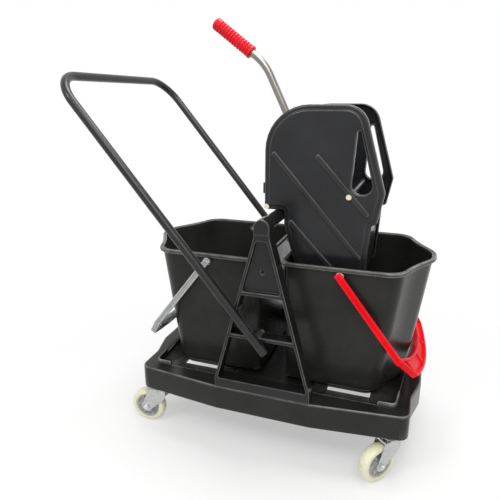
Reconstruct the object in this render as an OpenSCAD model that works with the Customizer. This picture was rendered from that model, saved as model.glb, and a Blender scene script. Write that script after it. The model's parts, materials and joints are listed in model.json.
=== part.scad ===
// Double mop bucket trolley: a moulded chassis on four swivel casters carries two lift-out
// buckets, two ladder frames with a cross bar, a bent push handle and a side-press wringer.
// Millimetres. X runs along the trolley, Y away from the viewer, Z up, origin on the floor
// under the middle of the chassis.

/* [Casters] */
// Wheel diameter
wheel_d = 100; // [80:1:125]
// Wheel width at the tyre
wheel_w = 30; // [24:1:36]
// Radial thickness of the tyre
tyre_t = 14; // [8:1:18]
// Distance of the swivel axis inside the chassis corner along X
caster_in_x = 40; // [38:1:56]
// Distance of the swivel axis inside the chassis corner along Y
caster_in_y = 34; // [32:1:50]
// Offset of the wheel axle behind the swivel axis
caster_trail = 40; // [30:1:45]
// Thickness of the stamped fork
fork_t = 2.7; // [2:0.1:4]
// Axle bolt diameter
axle_d = 8; // [6:1:10]
// Kingpin diameter
kingpin_d = 12; // [10:1:14]

/* [Chassis] */
// Length of the middle section, between the creases
mid_len = 248; // [220:1:260]
// Width of the middle section
mid_w = 514; // [500:1:540]
// Length at the corners
end_len = 716; // [700:1:740]
// Width at the corners
end_w = 462; // [456:1:480]
// Length at the bulged ends
nose_len = 756; // [745:1:780]
// Gap between the wheel and the skirt
skirt_gap = 26; // [20:1:36]
// Height of the skirt
skirt_h = 65; // [55:1:80]
// Wall of the chassis moulding
chassis_t = 4; // [3:0.5:5]
// Width of the pockets that the buckets stand in
pocket_w = 400; // [384:1:410]
// Height of the lips at the pockets' outer corners
lip_h = 12; // [6:1:16]

/* [Buckets] */
// Height of the rim above the deck
rim_over_deck = 332; // [300:1:360]
// Gap between the two rims over the middle of the trolley
rim_gap = 40; // [34:1:48]
// Reach of the rim's prow from the middle of the trolley
rim_nose_x = 383; // [370:1:395]
// Where the rim's straight sides end
rim_shoulder_x = 308; // [295:1:320]
// Width over the rim
rim_w = 376; // [360:1:384]
// Width of the rolled rim
rim_roll = 9; // [7:0.5:12]
// Wall of the bucket
bucket_t = 3; // [2.5:0.5:4]
// Height of the foot's step above the deck
step_over_deck = 20; // [14:1:40]
// Depth of the foot below the deck
foot_depth = 10; // [6:1:16]

/* [Bails] */
// Distance of the bail's pivot behind the rim's prow
bail_back = 213; // [198:1:223]
// Depth of the bail's pivot below the rim
bail_drop = 21; // [20:1:30]
// Reach of the bail's corners from the pivot
bail_reach = 310; // [290:1:315]
// Angle at which the bail hangs below level
bail_hang = 52; // [46:1:54]
// Width of the bail's section
bail_w = 16; // [12:1:20]
// Thickness of the bail's arms
bail_t = 8; // [6:0.5:10]
// Diameter of the bail's stub pins
bail_pin_d = 9; // [7:0.5:12]

/* [Frames] */
// Depth of the ladder frames
frame_depth = 40; // [34:1:44]
// Wall of the ladder frames
frame_t = 8; // [6:0.5:10]
// Height of the cross bar's axis above the deck
bar_over_deck = 431; // [420:1:450]
// Cross bar diameter
bar_d = 32; // [28:1:36]
// Wall of the cross bar tube
bar_t = 3; // [2:0.5:5]
// Diameter of the accessory hole in each frame's panel
accessory_d = 10; // [6:1:14]

/* [Push handle] */
// Tube diameter
push_d = 22; // [19:0.5:25]
// Tube wall
push_t = 1.5; // [1:0.25:2.5]
// Height of the top bar's axis
push_top_z = 954; // [910:1:990]
// Reach of the top bar behind the middle
push_reach = 520; // [490:1:550]
// Radius of the two bends
push_bend_r = 80; // [60:1:100]

/* [Wringer] */
// Width over the side plates
wringer_w = 276; // [260:1:290]
// Wall of the side plates
plate_t = 4; // [3:0.5:5]
// Depth of the plates' turned-in flange
flange_depth = 22; // [16:1:26]
// Reach of the plates' apex from the cross bar
apex_x = 254; // [245:1:262]
// Height of the plates above the cross bar's axis
plate_top = 266; // [250:1:280]
// Depth of the plates below the cross bar's axis
plate_drop = 161; // [150:1:175]
// Press shaft diameter
shaft_d = 16; // [14:0.5:20]
// Diameter of the holes in the strainer and the press plate
drain_d = 10; // [8:0.5:12]
// Tie bolt diameter
tie_d = 8; // [6:0.5:10]

/* [Lever] */
// Lever tube diameter
lever_d = 19; // [16:0.5:22]
// Lever tube wall
lever_t = 1.75; // [1.25:0.25:2.5]
// Lean of the lever's lower run from upright
lever_lean = 26; // [20:1:30]
// Further lean of the upper run
lever_kink = 27; // [20:1:35]
// Length of the lower run from the shaft to the bend
lever_lower = 282; // [260:1:300]
// Length of the upper run from the bend to the end of the grip
lever_upper = 168; // [155:1:190]
// Grip diameter
grip_d = 30; // [27:0.5:34]
// Grip length
grip_len = 120; // [100:1:130]

/* [Hidden] */
$fn = 64;
eps = 0.01;
// Running clearance on a radius, and the gap between pieces that only meet
run_fit = 0.05;
seat_gap = 0.3;

wheel_r = wheel_d / 2;
skirt_z = wheel_d + skirt_gap;
deck_z = skirt_z + skirt_h;
mid_x = mid_len / 2;
mid_y = mid_w / 2;
corner_x = end_len / 2;
corner_y = end_w / 2;
end_x = nose_len / 2;
swivel_x = corner_x - caster_in_x;
swivel_y = corner_y - caster_in_y;

// Caster heights: fork crown, ball race and top plate stack above the wheel
crown_gap = 6;
crown_z = wheel_d + crown_gap;
crown_top = crown_z + fork_t + 1;
race_h = 15;
race_r = 18;
race_bowl_r = 26;
crown_r = 31;
plate_gauge = 3;
pad_z = crown_top + race_h + plate_gauge;
hub_gap = seat_gap;
hub_w = wheel_w + 1.4;
fork_w = hub_w + 2 * hub_gap + 2 * fork_t;
hex_d = axle_d * 1.85;
hex_h = axle_d * 0.6;
plate_len = 54;
plate_wide = 48;
plate_corner = 9;
pad_rim = 2;
screw_d = 6;
screw_in = 8;
screw_len = 16;

// Which way each caster trails, as photographed at the front
CASTERS = [
    ["front_left", -1, -1, 183],
    ["front_right", 1, -1, 228],
    ["rear_left", -1, 1, 160],
    ["rear_right", 1, 1, 200]
];

// Bucket levels and plan sizes
rim_z = deck_z + rim_over_deck;
step_z = deck_z + step_over_deck;
foot_z = deck_z - foot_depth;
shelf_z = foot_z - seat_gap;
rim_in_x = rim_gap / 2;
rim_y = rim_w / 2;
rim_h = 10;
wall_top_z = rim_z - rim_h;
wall_lean = 21;
inner_lean = 68;
nose_lean = 40;
shoulder_lean = 34;
foot_step = 10;
prow_y = 28;
plan_r = 20;
flank_sag = 8;
pocket_gap = 10;
pocket_y = pocket_w / 2;
pocket_r = 12;
pocket_x0 = rim_in_x + rim_roll + inner_lean + foot_step - pocket_gap;
pocket_x1 = rim_shoulder_x + pocket_gap + 2;
pocket_x2 = rim_nose_x - rim_roll - nose_lean - foot_step + pocket_gap;
shelf_t = 5;
shelf_run = 52;
shelf_side = 40;
lip_run = 40;

// Frames
frame_y = mid_y - frame_depth;
sill_h = 25;
head_r = bar_d / 2 + 3;
bar_z = deck_z + bar_over_deck;
bar_seat = frame_depth - 10;
leg_top_z = bar_z - 24;
rung_over_deck = 147;
panel_over_deck = 263;
rung_z = deck_z + rung_over_deck;
panel_z = deck_z + panel_over_deck;
panel_t = 6;
panel_set_back = 12;
boss_d = 22;
push_screw_d = 8;

// Push handle, in the plane of its two legs
push_y = mid_y + push_d / 2 + run_fit;
push_foot_x = 12;
push_foot_over_deck = 124;
push_foot_z = deck_z + push_foot_over_deck;
push_run = push_reach + push_foot_x;
push_rise = push_top_z - push_foot_z;
push_len = sqrt(push_run * push_run + push_rise * push_rise);
push_angle = atan2(push_run, push_rise);
low_bolt_z = rung_z + frame_t / 2;
low_bolt_x = push_foot_x - (low_bolt_z - push_foot_z) * tan(push_angle);
high_bolt_over_deck = 217;
high_bolt_z = deck_z + high_bolt_over_deck;
high_bolt_x = push_foot_x - (high_bolt_z - push_foot_z) * tan(push_angle);
push_plug_len = 18;

// Wringer, with heights above the cross bar's axis
plate_y = wringer_w / 2;
saddle_x = bar_d / 2 + 1.5;
saddle_z = bar_z + bar_d / 2 + seat_gap;
plate_left = 33;
flange_y = plate_y - flange_depth;
web_y = plate_y - plate_t;
shaft_x = 47;
shaft_z = bar_z + 109;
shaft_boss_d = shaft_d + 14;
shaft_boss_len = 16;
press_y = flange_y - shaft_boss_len / 8 - 2;
press_len = 232;
press_rib_low = bar_z - 88;
plate_foot_x = 60;
plate_step = 33;
press_t = 6;
clamp_half = 30;
clamp_d = shaft_d + 18;
tie_points = [[-24.5, bar_z + 25], [174, bar_z + 60]];
tie_tube_d = tie_d + 7;
strainer_t = 4;
rib_w = 12;
rib_h = 3;

// Bails
bail_x = rim_nose_x - bail_back;
bail_z = rim_z - bail_drop;
bail_in_y = rim_y + 1;
bail_out_y = bail_in_y + bail_t;
bail_kink = bail_reach - 68;
bail_clear = bail_reach - 13;
bail_bow = 30;
bail_corner_y = 155;

module each_caster() {
    for (c = CASTERS) translate([c[1] * swivel_x, c[2] * swivel_y, 0]) children();
}

// Unit vector of v
function unit(v) = v / norm(v);

// Points of the fillet of radius r at corner p between its neighbours a and b
function fillet(a, p, b, r, n) =
    let (
        u = unit(a - p),
        v = unit(b - p),
        half = acos(max(-1, min(1, u * v))) / 2,
        centre = p + unit(u + v) * r / sin(half),
        start = p + u * r / tan(half) - centre,
        stop = p + v * r / tan(half) - centre,
        from = atan2(start.y, start.x),
        turn = atan2(start.x * stop.y - start.y * stop.x, start * stop)
    )
    [for (i = [0:n]) centre + r * [cos(from + turn * i / n), sin(from + turn * i / n)]];

// Outline through corners given as [x, y, radius], each rounded with n steps
function rounded(c, n) =
    let (m = len(c))
    [for (i = [0:m - 1])
        let (a = c[(i + m - 1) % m], p = c[i], b = c[(i + 1) % m])
        each fillet([a.x, a.y], [p.x, p.y], [b.x, b.y], p.z, n)];

// Outline moved inwards by d; the points run clockwise
function inset(p, d) =
    let (m = len(p))
    [for (i = [0:m - 1])
        let (
            before = unit(p[i] - p[(i + m - 1) % m]),
            after = unit(p[(i + 1) % m] - p[i]),
            n1 = [before.y, -before.x],
            n2 = [after.y, -after.x]
        )
        p[i] + d * (n1 + n2) / (1 + n1 * n2)];

// Closed solid through rings of points, each ring an outline with its height
module loft(rings) {
    n = len(rings[0][0]);
    last = len(rings) - 1;
    points = [for (r = rings) each [for (p = r[0]) [p.x, p.y, r[1]]]];
    sides = [for (k = [0:last - 1]) each [for (i = [0:n - 1])
        let (j = (i + 1) % n)
        each [[k * n + j, k * n + i, (k + 1) * n + j], [(k + 1) * n + j, k * n + i, (k + 1) * n + i]]]];
    foot = [for (i = [0:n - 1]) i];
    top = [for (i = [0:n - 1]) last * n + n - 1 - i];
    polyhedron(points = points, faces = concat([foot], sides, [top]), convexity = 8);
}

// Slot-shaped outline from a to b, w wide
module slot2d(a, b, w) {
    along = b - a;
    turn = atan2(along.y, along.x);
    polygon(concat(
        [for (t = [90:22.5:270]) a + w / 2 * [cos(turn + t), sin(turn + t)]],
        [for (t = [-90:22.5:90]) b + w / 2 * [cos(turn + t), sin(turn + t)]]
    ));
}

// Stands an outline drawn in X and Z upright, from y0 to y1
module upright(y0, y1) {
    translate([0, y1, 0]) rotate([90, 0, 0]) linear_extrude(y1 - y0) children();
}

// Cylinder along Y
module rod(x, z, d, y0, y1) {
    translate([x, y1, z]) rotate([90, 0, 0]) cylinder(d = d, h = y1 - y0);
}

// Boat-shaped plan of the chassis, moved in by d
function chassis_plan(d) =
    let (
        bulge = corner_y * 0.26,
        waist = corner_y * 0.61,
        half = [[mid_x, -mid_y, 6], [corner_x, -corner_y, 26], [corner_x, -waist, 30], [end_x, -bulge, 30]],
        other = [for (i = [3:-1:0]) [half[i].x, -half[i].y, half[i].z]],
        right = concat(half, other),
        left = [for (p = right) [-p.x, -p.y, p.z]],
        plan = rounded(concat(right, left), 6),
        turned = [for (i = [len(plan) - 1:-1:0]) plan[i]]
    )
    inset(turned, d);

// Plan of the right bucket, anticlockwise: a straight inner end and a prow at the outer end,
// whose flanks curve inwards by sag
function bucket_plan(x0, shoulder, nose, y, nose_y, r, sag) =
    let (
        flank = [(shoulder + nose) / 2 - sag, (y + nose_y) / 2],
        near = [[x0, -y, r], [shoulder, -y, r], [flank.x, -flank.y, r * 3], [nose, -nose_y, r]],
        far = [for (i = [3:-1:0]) [near[i].x, -near[i].y, near[i].z]]
    )
    rounded(concat(near, far), 6);

// The bucket's plan at the wall's top (at 0), at the step (at 1), moved out by grow
function wall_plan(at, grow) = bucket_plan(
    rim_in_x + rim_roll + inner_lean * at - grow,
    rim_shoulder_x - rim_roll / 2 - shoulder_lean * at + grow * 0.6,
    rim_nose_x - rim_roll - nose_lean * at + grow,
    rim_y - rim_roll - wall_lean * at + grow,
    prow_y,
    plan_r - 4 * at,
    flank_sag);

// The plan of the bucket's foot, moved out by grow
function foot_plan(grow) = wall_plan(1, grow - foot_step);

module mirrored_bucket(side) {
    if (side > 0) children();
    else mirror([1, 0, 0]) children();
}

module chassis() {
    color("#2b2c2e") difference() {
        union() {
            translate([0, 0, skirt_z]) linear_extrude(skirt_h) difference() {
                polygon(chassis_plan(0));
                polygon(chassis_plan(chassis_t));
            }
            translate([0, 0, deck_z - chassis_t]) linear_extrude(chassis_t)
                polygon(chassis_plan(chassis_t / 2));
            for (side = [-1, 1]) mirrored_bucket(side) {
                pocket_walls();
                corner_lips();
            }
            each_caster() caster_pad();
        }
        for (side = [-1, 1]) mirrored_bucket(side) {
            translate([0, 0, shelf_z]) linear_extrude(deck_z) polygon(pocket_plan(0));
            drain_opening();
        }
        a_frame_screw_places() cylinder(d = screw_d + 0.4, h = 3 * chassis_t, center = true);
        each_caster() caster_screw_places() translate([0, 0, pad_z - eps])
            cylinder(d = screw_d, h = screw_len);
    }
}

// Box pad over a caster, joined to the deck and to the skirt
module caster_pad() {
    translate([0, 0, pad_z]) linear_extrude(deck_z - chassis_t / 2 - pad_z) polygon(plate_plan(pad_rim));
}

// Rounded plan of a caster's top plate, moved out by grow
function plate_plan(grow) =
    let (x = plate_len / 2 + grow, y = plate_wide / 2 + grow, r = plate_corner + grow)
    rounded([[-x, -y, r], [x, -y, r], [x, y, r], [-x, y, r]], 6);

// Plan of the pocket that the right bucket's foot stands in, moved out by grow
function pocket_plan(grow) =
    let (
        y = pocket_y + grow,
        r = pocket_r + grow,
        near = [
            [pocket_x0 - grow, -y, r], [pocket_x1 + grow, -y, r], [pocket_x2 + grow, -prow_y, 3 * pocket_r]
        ],
        far = [for (i = [2:-1:0]) [near[i].x, -near[i].y, near[i].z]]
    )
    rounded(concat(near, far), 6);

// Wall around the pocket, with a floor that is the shelf under the foot
module pocket_walls() {
    translate([0, 0, shelf_z - shelf_t]) linear_extrude(deck_z - shelf_z + shelf_t)
        polygon(pocket_plan(chassis_t));
}

// The pocket's floor is open to the ground inside a shelf that carries the foot
module drain_opening() {
    x0 = pocket_x0 + shelf_run;
    x1 = pocket_x1 - shelf_run - pocket_gap;
    y = pocket_y - shelf_side;
    translate([x0, -y, skirt_z]) cube([x1 - x0, 2 * y, skirt_h]);
}

// Raised lips around the pocket's two outer corners
module corner_lips() {
    x = pocket_x1 - lip_run;
    y = pocket_y - 1.5 * lip_run;
    translate([0, 0, deck_z - chassis_t / 2]) linear_extrude(lip_h + chassis_t / 2) intersection() {
        difference() {
            polygon(pocket_plan(chassis_t));
            polygon(pocket_plan(0));
        }
        for (s = [-1, 1]) translate([x, s > 0 ? y : -y - 2 * lip_run]) square([3 * lip_run, 2 * lip_run]);
    }
}

module a_frame_screw_places() {
    for (x = [-1, 1], y = [-1, 1])
        translate([x * (mid_x - 34), y * (mid_y - frame_depth / 2), deck_z - chassis_t / 2]) children();
}

module caster_screw_places() {
    for (x = [-1, 1], y = [-1, 1])
        translate([x * (plate_len / 2 - screw_in), y * (plate_wide / 2 - screw_in), 0]) children();
}

module a_frame_screws() {
    color("silver") a_frame_screw_places() translate([0, 0, -chassis_t / 2]) {
        translate([0, 0, -4]) cylinder(d = 11, h = 4);
        cylinder(d = screw_d, h = chassis_t + screw_len);
    }
}

module caster_screws() {
    color("silver") each_caster() caster_screw_places() translate([0, 0, pad_z]) {
        translate([0, 0, -plate_gauge - 3]) cylinder(d = 10, h = 3);
        translate([0, 0, -plate_gauge]) cylinder(d = screw_d - 0.1, h = screw_len);
    }
}

// Ladder frame at the front; its outer face is flush with the chassis
module a_frame() {
    foot_y = [-mid_y, -frame_y];
    difference() {
        union() {
            upright(foot_y[0], foot_y[1]) difference() {
                frame_outline(0);
                difference() {
                    frame_outline(frame_t);
                    translate([-mid_x, rung_z]) square([mid_len, frame_t]);
                    translate([-mid_x, panel_z]) square([mid_len, frame_t]);
                    translate([-mid_x, leg_top_z - frame_t]) square([mid_len, head_r * 4]);
                    translate([-mid_x, 0]) square([mid_len, deck_z + sill_h]);
                }
            }
            upright(-mid_y + panel_set_back, -mid_y + panel_set_back + panel_t) intersection() {
                frame_outline(frame_t / 2);
                translate([-mid_x, panel_z]) square([mid_len, leg_top_z - panel_z]);
            }
            for (p = [[low_bolt_x, low_bolt_z], [high_bolt_x, high_bolt_z]])
                rod(p.x, p.y, boss_d, foot_y[0], foot_y[1]);
        }
        rod(0, bar_z, bar_d + 2 * run_fit, -frame_y - bar_seat, -frame_y + eps);
        rod(0, panel_hole_z(), accessory_d, -mid_y - eps, -frame_y);
        for (p = [[low_bolt_x, low_bolt_z], [high_bolt_x, high_bolt_z]])
            rod(p.x, p.y, push_screw_d, foot_y[0] - eps, foot_y[1] + eps);
        a_frame_screw_places() cylinder(d = screw_d, h = screw_len + chassis_t);
    }
}

function panel_hole_z() = panel_z + 0.4 * (leg_top_z - panel_z);

// Outline of the ladder frame in X and Z, moved in by d
module frame_outline(d) {
    plan = [
        [-mid_x, deck_z], [-mid_x, deck_z + sill_h], [-head_r, leg_top_z], [-head_r, bar_z]
    ];
    arc = [for (a = [180:-15:0]) [head_r * cos(a), bar_z + head_r * sin(a)]];
    right = [for (i = [2:-1:0]) [-plan[i].x, plan[i].y]];
    polygon(inset(concat([for (i = [0:2]) plan[i]], arc, right), d));
}

module front_a_frame() {
    color("#2b2c2e") a_frame();
}

module rear_a_frame() {
    color("#2b2c2e") mirror([0, 1, 0]) a_frame();
}

module cross_bar() {
    end_y = frame_y + bar_seat - seat_gap;
    color("#303133") difference() {
        rod(0, bar_z, bar_d, -end_y, end_y);
        rod(0, bar_z, bar_d - 2 * bar_t, -end_y - eps, end_y + eps);
    }
}

// The push handle's path, as a round bar of diameter d: two legs, two bends and the top bar
module push_path(d, past) {
    straight = push_len - push_bend_r;
    translate([push_foot_x, 0, push_foot_z]) rotate([0, -push_angle, 0]) {
        for (s = [-1, 1]) {
            translate([0, s * push_y, -past]) cylinder(d = d, h = straight + past);
            translate([0, s * (push_y - push_bend_r), straight]) rotate([0, -90, 0])
                mirror([0, s < 0 ? 1 : 0, 0]) rotate_extrude(angle = 90)
                    translate([push_bend_r, 0]) circle(d = d);
        }
        translate([0, push_y - push_bend_r, push_len]) rotate([90, 0, 0])
            cylinder(d = d, h = 2 * (push_y - push_bend_r));
    }
}

module push_handle() {
    color("#1c1d1f") difference() {
        push_path(push_d, 0);
        push_path(push_d - 2 * push_t, 1);
        push_bolt_places() rod(0, 0, push_screw_d - 0.4, 0, push_d);
    }
}

module push_handle_plugs() {
    color("#101112") translate([push_foot_x, 0, push_foot_z]) rotate([0, -push_angle, 0])
        for (s = [-1, 1]) translate([0, s * push_y, 0]) {
            cylinder(d = push_d - 2 * push_t, h = push_plug_len);
            translate([0, 0, -3]) cylinder(d = push_d, h = 3);
        }
}

// Places where a bolt passes from a frame into the push handle, turned so that Y points inwards
module push_bolt_places() {
    for (s = [-1, 1], p = [[low_bolt_x, low_bolt_z], [high_bolt_x, high_bolt_z]])
        mirror([0, s < 0 ? 0 : 1, 0]) translate([p.x, -push_y, p.y]) children();
}

module push_handle_bolts() {
    reach = push_y - frame_y;
    color("silver") push_bolt_places() {
        rod(0, 0, push_screw_d - 0.4, 2, reach);
        rod(0, 0, push_screw_d * 1.7, reach, reach + 5);
    }
}

// Caster pieces, with the swivel axis at the origin and the wheel trailing along X
module caster_plate_part() {
    bowl_z = crown_top + seat_gap;
    plate_z = pad_z - plate_gauge;
    color("#c9ccd0") difference() {
        union() {
            translate([0, 0, plate_z]) linear_extrude(plate_gauge) polygon(plate_plan(0));
            rotate_extrude() polygon([
                [0, bowl_z], [race_bowl_r - 3, bowl_z], [race_bowl_r, bowl_z + 3], [race_bowl_r, bowl_z + 5],
                [race_r, bowl_z + 9], [race_r, plate_z + eps], [0, plate_z + eps]
            ]);
        }
        translate([0, 0, crown_z]) cylinder(d = kingpin_d, h = pad_z);
        caster_screw_places() translate([0, 0, crown_top]) cylinder(d = screw_d + 0.4, h = pad_z);
    }
}

module caster_kingpin_part() {
    head_h = 3;
    color("#b4b7bb") translate([0, 0, crown_z - head_h - seat_gap]) {
        cylinder(d = kingpin_d + 7, h = head_h);
        cylinder(d = kingpin_d, h = pad_z - crown_z + head_h + seat_gap);
    }
}

module caster_fork_part() {
    eye_r = 15;
    shoulder = crown_r;
    fork_front = 6;
    apron = 9;
    crown_plan = concat(
        [for (t = [90:15:270]) [(shoulder - fork_front) * cos(t) - fork_front, fork_w / 2 * sin(t)]],
        [[caster_trail + eye_r, -fork_w / 2], [caster_trail + eye_r, fork_w / 2]]
    );
    color("#c3c6ca") difference() {
        union() {
            intersection() {
                upright(-fork_w / 2, fork_w / 2) polygon([
                    [-shoulder, crown_top], [shoulder, crown_top], [caster_trail + eye_r - 1, wheel_r + 5],
                    [caster_trail - eye_r + 3, wheel_r - 8], [-shoulder, crown_z - apron]
                ]);
                linear_extrude(crown_top + 1) polygon(crown_plan);
            }
            rod(caster_trail, wheel_r, 2 * eye_r, -fork_w / 2, fork_w / 2);
        }
        translate([-2 * shoulder, -fork_w / 2 + fork_t, 0])
            cube([6 * shoulder, fork_w - 2 * fork_t, crown_z]);
        cylinder(d = kingpin_d + 2 * run_fit, h = pad_z);
        rod(caster_trail, wheel_r, axle_d, -fork_w, fork_w);
    }
}

module caster_axle_part() {
    color("#d4d6d9") {
        rod(caster_trail, wheel_r, axle_d, -fork_w / 2 - hex_h, fork_w / 2 + hex_h + 2);
        difference() {
            union() {
                for (y = [-fork_w / 2, fork_w / 2 + hex_h]) translate([caster_trail, y, wheel_r])
                    rotate([90, 0, 0]) cylinder(d = hex_d, h = hex_h, $fn = 6);
            }
            rod(caster_trail, wheel_r, axle_d - eps, -fork_w, fork_w);
        }
    }
}

// Wheel hub: rim, dished web and boss, turned about the axle
module wheel_hub_part() {
    rim_r = wheel_r - tyre_t;
    boss_r = axle_d / 2 + 6;
    web = 10;
    color("#8d9092") translate([caster_trail, 0, wheel_r]) rotate([90, 0, 0]) rotate_extrude()
        polygon([
            [axle_d / 2 + run_fit, -hub_w / 2], [boss_r, -hub_w / 2], [boss_r + 2, -web / 2],
            [rim_r - 6, -web / 2], [rim_r - 4, -wheel_w / 2 + 2], [rim_r, -wheel_w / 2 + 2],
            [rim_r, wheel_w / 2 - 2], [rim_r - 4, wheel_w / 2 - 2], [rim_r - 6, web / 2],
            [boss_r + 2, web / 2],
            [boss_r, hub_w / 2], [axle_d / 2 + run_fit, hub_w / 2]
        ]);
}

module wheel_tyre_part() {
    rim_r = wheel_r - tyre_t;
    crown = 5;
    crown_at = wheel_r - crown;
    color("#d9d8cc") translate([caster_trail, 0, wheel_r]) rotate([90, 0, 0]) rotate_extrude()
        polygon(concat(
            [[rim_r, -wheel_w / 2 + 2], [rim_r + 2, -wheel_w / 2]],
            [for (a = [-90:22.5:0]) [crown_at + crown * cos(a), -wheel_w / 2 + crown + crown * sin(a)]],
            [for (a = [0:22.5:90]) [crown_at + crown * cos(a), wheel_w / 2 - crown + crown * sin(a)]],
            [[rim_r + 2, wheel_w / 2], [rim_r, wheel_w / 2 - 2]]
        ));
}

// The right bucket: a lofted shell with a step, a smaller foot and a rolled rim
module bucket_shell() {
    t = bucket_t;
    pivot_y = rim_y - rim_roll;
    difference() {
        union() {
            loft([
                [foot_plan(0), foot_z], [foot_plan(2), step_z - 4], [wall_plan(1, 0), step_z],
                [wall_plan(0, 0), wall_top_z], [wall_plan(0, 0), rim_z], [wall_plan(0, -t), rim_z],
                [wall_plan(0, -t), wall_top_z], [wall_plan(1, -t), step_z + t],
                [foot_plan(2 - t), step_z - 4 + t], [foot_plan(-t), foot_z + t]
            ]);
            rolled_rim();
            for (s = [0, 1]) mirror([0, s, 0])
                rod(bail_x, bail_z, bail_pin_d + 11, pivot_y - 6, bail_in_y - seat_gap);
        }
        rod(bail_x, bail_z, bail_pin_d + 2 * run_fit, -rim_w, rim_w);
    }
}

// Rim turned out and down over the wall
module rolled_rim() {
    edge = 3;
    lip = rim_roll - edge;
    translate([0, 0, wall_top_z]) linear_extrude(rim_h - 2) difference() {
        polygon(wall_plan(0, rim_roll));
        polygon(wall_plan(0, lip));
    }
    translate([0, 0, rim_z - 4]) linear_extrude(2.5) difference() {
        polygon(wall_plan(0, rim_roll));
        polygon(wall_plan(0, -bucket_t / 2));
    }
    translate([0, 0, rim_z - 2.5]) linear_extrude(2.5) difference() {
        polygon(wall_plan(0, rim_roll - 1.5));
        polygon(wall_plan(0, -bucket_t / 2));
    }
}

module right_bucket() {
    color("#26272a") bucket_shell();
}

module left_bucket() {
    color("#26272a") mirror([1, 0, 0]) bucket_shell();
}

// Points of an edge that bows from x = ends, at y and -y, to x = middle
function bow(ends, middle, y) =
    [for (i = [0:12]) let (t = 1 - i / 6) [middle - (middle - ends) * t * t, y * t]];

// Carrying bail of the right bucket: grooved arms, a webbed grip that clears the prow, a gusset hole at
// each corner and two stub pins
module bail() {
    web_t = 4;
    edge = 5;
    panel_y = bail_corner_y - edge;
    panel_in = bail_clear - (bail_clear - bail_kink) * pow(panel_y / bail_in_y, 2);
    gusset = [
        [panel_in + edge, bail_corner_y], [bail_reach - 2 * edge, bail_corner_y],
        [bail_kink + 2 * edge, bail_in_y - edge]
    ];
    arm_y = [bail_out_y, -bail_out_y];
    pin_in = rim_y - rim_roll - 8;
    translate([bail_x, 0, bail_z]) rotate([0, bail_hang, 0]) {
        difference() {
            translate([0, 0, -bail_w / 2]) linear_extrude(bail_w) difference() {
                polygon(concat(
                    [[-bail_w / 2, arm_y[0]], [bail_kink, arm_y[0]]],
                    bow(bail_reach, bail_reach + bail_bow, bail_corner_y),
                    [[bail_kink, arm_y[1]], [-bail_w / 2, arm_y[1]]]
                ));
                polygon(concat(
                    [[-bail_w, bail_in_y]], bow(bail_kink, bail_clear, bail_in_y), [[-bail_w, -bail_in_y]]
                ));
                for (s = [0, 1]) mirror([0, s]) polygon(gusset);
            }
            for (z = [web_t / 2, -web_t / 2 - bail_w]) translate([0, 0, z]) linear_extrude(bail_w)
                polygon(concat(
                    bow(bail_reach - edge, bail_reach + bail_bow - edge, panel_y),
                    bow(panel_in + edge, bail_clear + edge, -panel_y)
                ));
            for (y = arm_y) translate([bail_w, y - bail_t / 4, bail_t / 2 - bail_w / 2])
                cube([bail_kink - 2 * bail_w, bail_t / 2, bail_w - bail_t]);
        }
        rod(0, 0, bail_pin_d, pin_in, bail_in_y + 1);
        rod(0, 0, bail_pin_d, -bail_in_y - 1, -pin_in);
    }
}

module right_bail() {
    color("#dc1428") bail();
}

module left_bail() {
    color("#8a8d90") mirror([1, 0, 0]) bail();
}

// Outline of the wringer's side plates in X and Z, clockwise, with a notch over the cross bar
function plate_outline() =
    let (
        top = bar_z + plate_top,
        low = bar_z - plate_drop,
        apex_z = bar_z + 70
    )
    rounded([
        [-plate_left, saddle_z, 6], [-plate_left, top, 106], [apex_x - 59, top, 55],
        [apex_x, apex_z, 12], [apex_x - 14, bar_z - 3, 8], [apex_x - 25, bar_z - 6, 5],
        [apex_x - plate_step, low, 12], [plate_foot_x, low, 12],
        [saddle_x, bar_z - 21, 8], [saddle_x, saddle_z, 4]
    ], 8);

// Teardrop hand hole, moved out by d
module hand_hole(d) {
    foot = bar_z + 66;
    top = bar_z + 209;
    polygon(inset(rounded([
        [apex_x - 78, foot, 21], [apex_x - 70, top, 3.5], [apex_x - 62, top, 3.5], [apex_x - 23, foot, 21]
    ], 6), -d));
}

// Side plate at the front: web, turned-in flange, three raised ribs and a blind boss for the shaft
module side_plate() {
    hole_lip = 3;
    ribs = [
        [[-8, bar_z + 152], [204, bar_z - 85]], [[98, bar_z + 149], [164, bar_z + 78]],
        [[189, bar_z + 51], [216, bar_z + 22]], [[38, bar_z - 11], [138, bar_z - 115]]
    ];
    difference() {
        union() {
            upright(-plate_y, -flange_y) polygon(plate_outline());
            for (r = ribs) upright(-plate_y - rib_h, -plate_y + 1) slot2d(r[0], r[1], rib_w);
        }
        upright(-web_y, -web_y + shaft_boss_len) difference() {
            polygon(inset(plate_outline(), plate_t));
            hand_hole(hole_lip);
            translate([shaft_x, shaft_z]) circle(d = shaft_boss_d);
        }
        upright(-web_y + shaft_boss_len, -flange_y + 1) polygon(inset(plate_outline(), plate_t));
        upright(-plate_y - rib_h - 1, -flange_y) hand_hole(0);
        rod(shaft_x, shaft_z, shaft_d + 2 * run_fit, -web_y + 2, -flange_y);
        for (p = tie_points) rod(p.x, p.y, tie_d + 0.3, -plate_y - rib_h - 1, -flange_y);
    }
}

module wringer_front_plate() {
    color("#2d2e30") side_plate();
}

module wringer_rear_plate() {
    color("#2d2e30") mirror([0, 1, 0]) side_plate();
}

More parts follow.
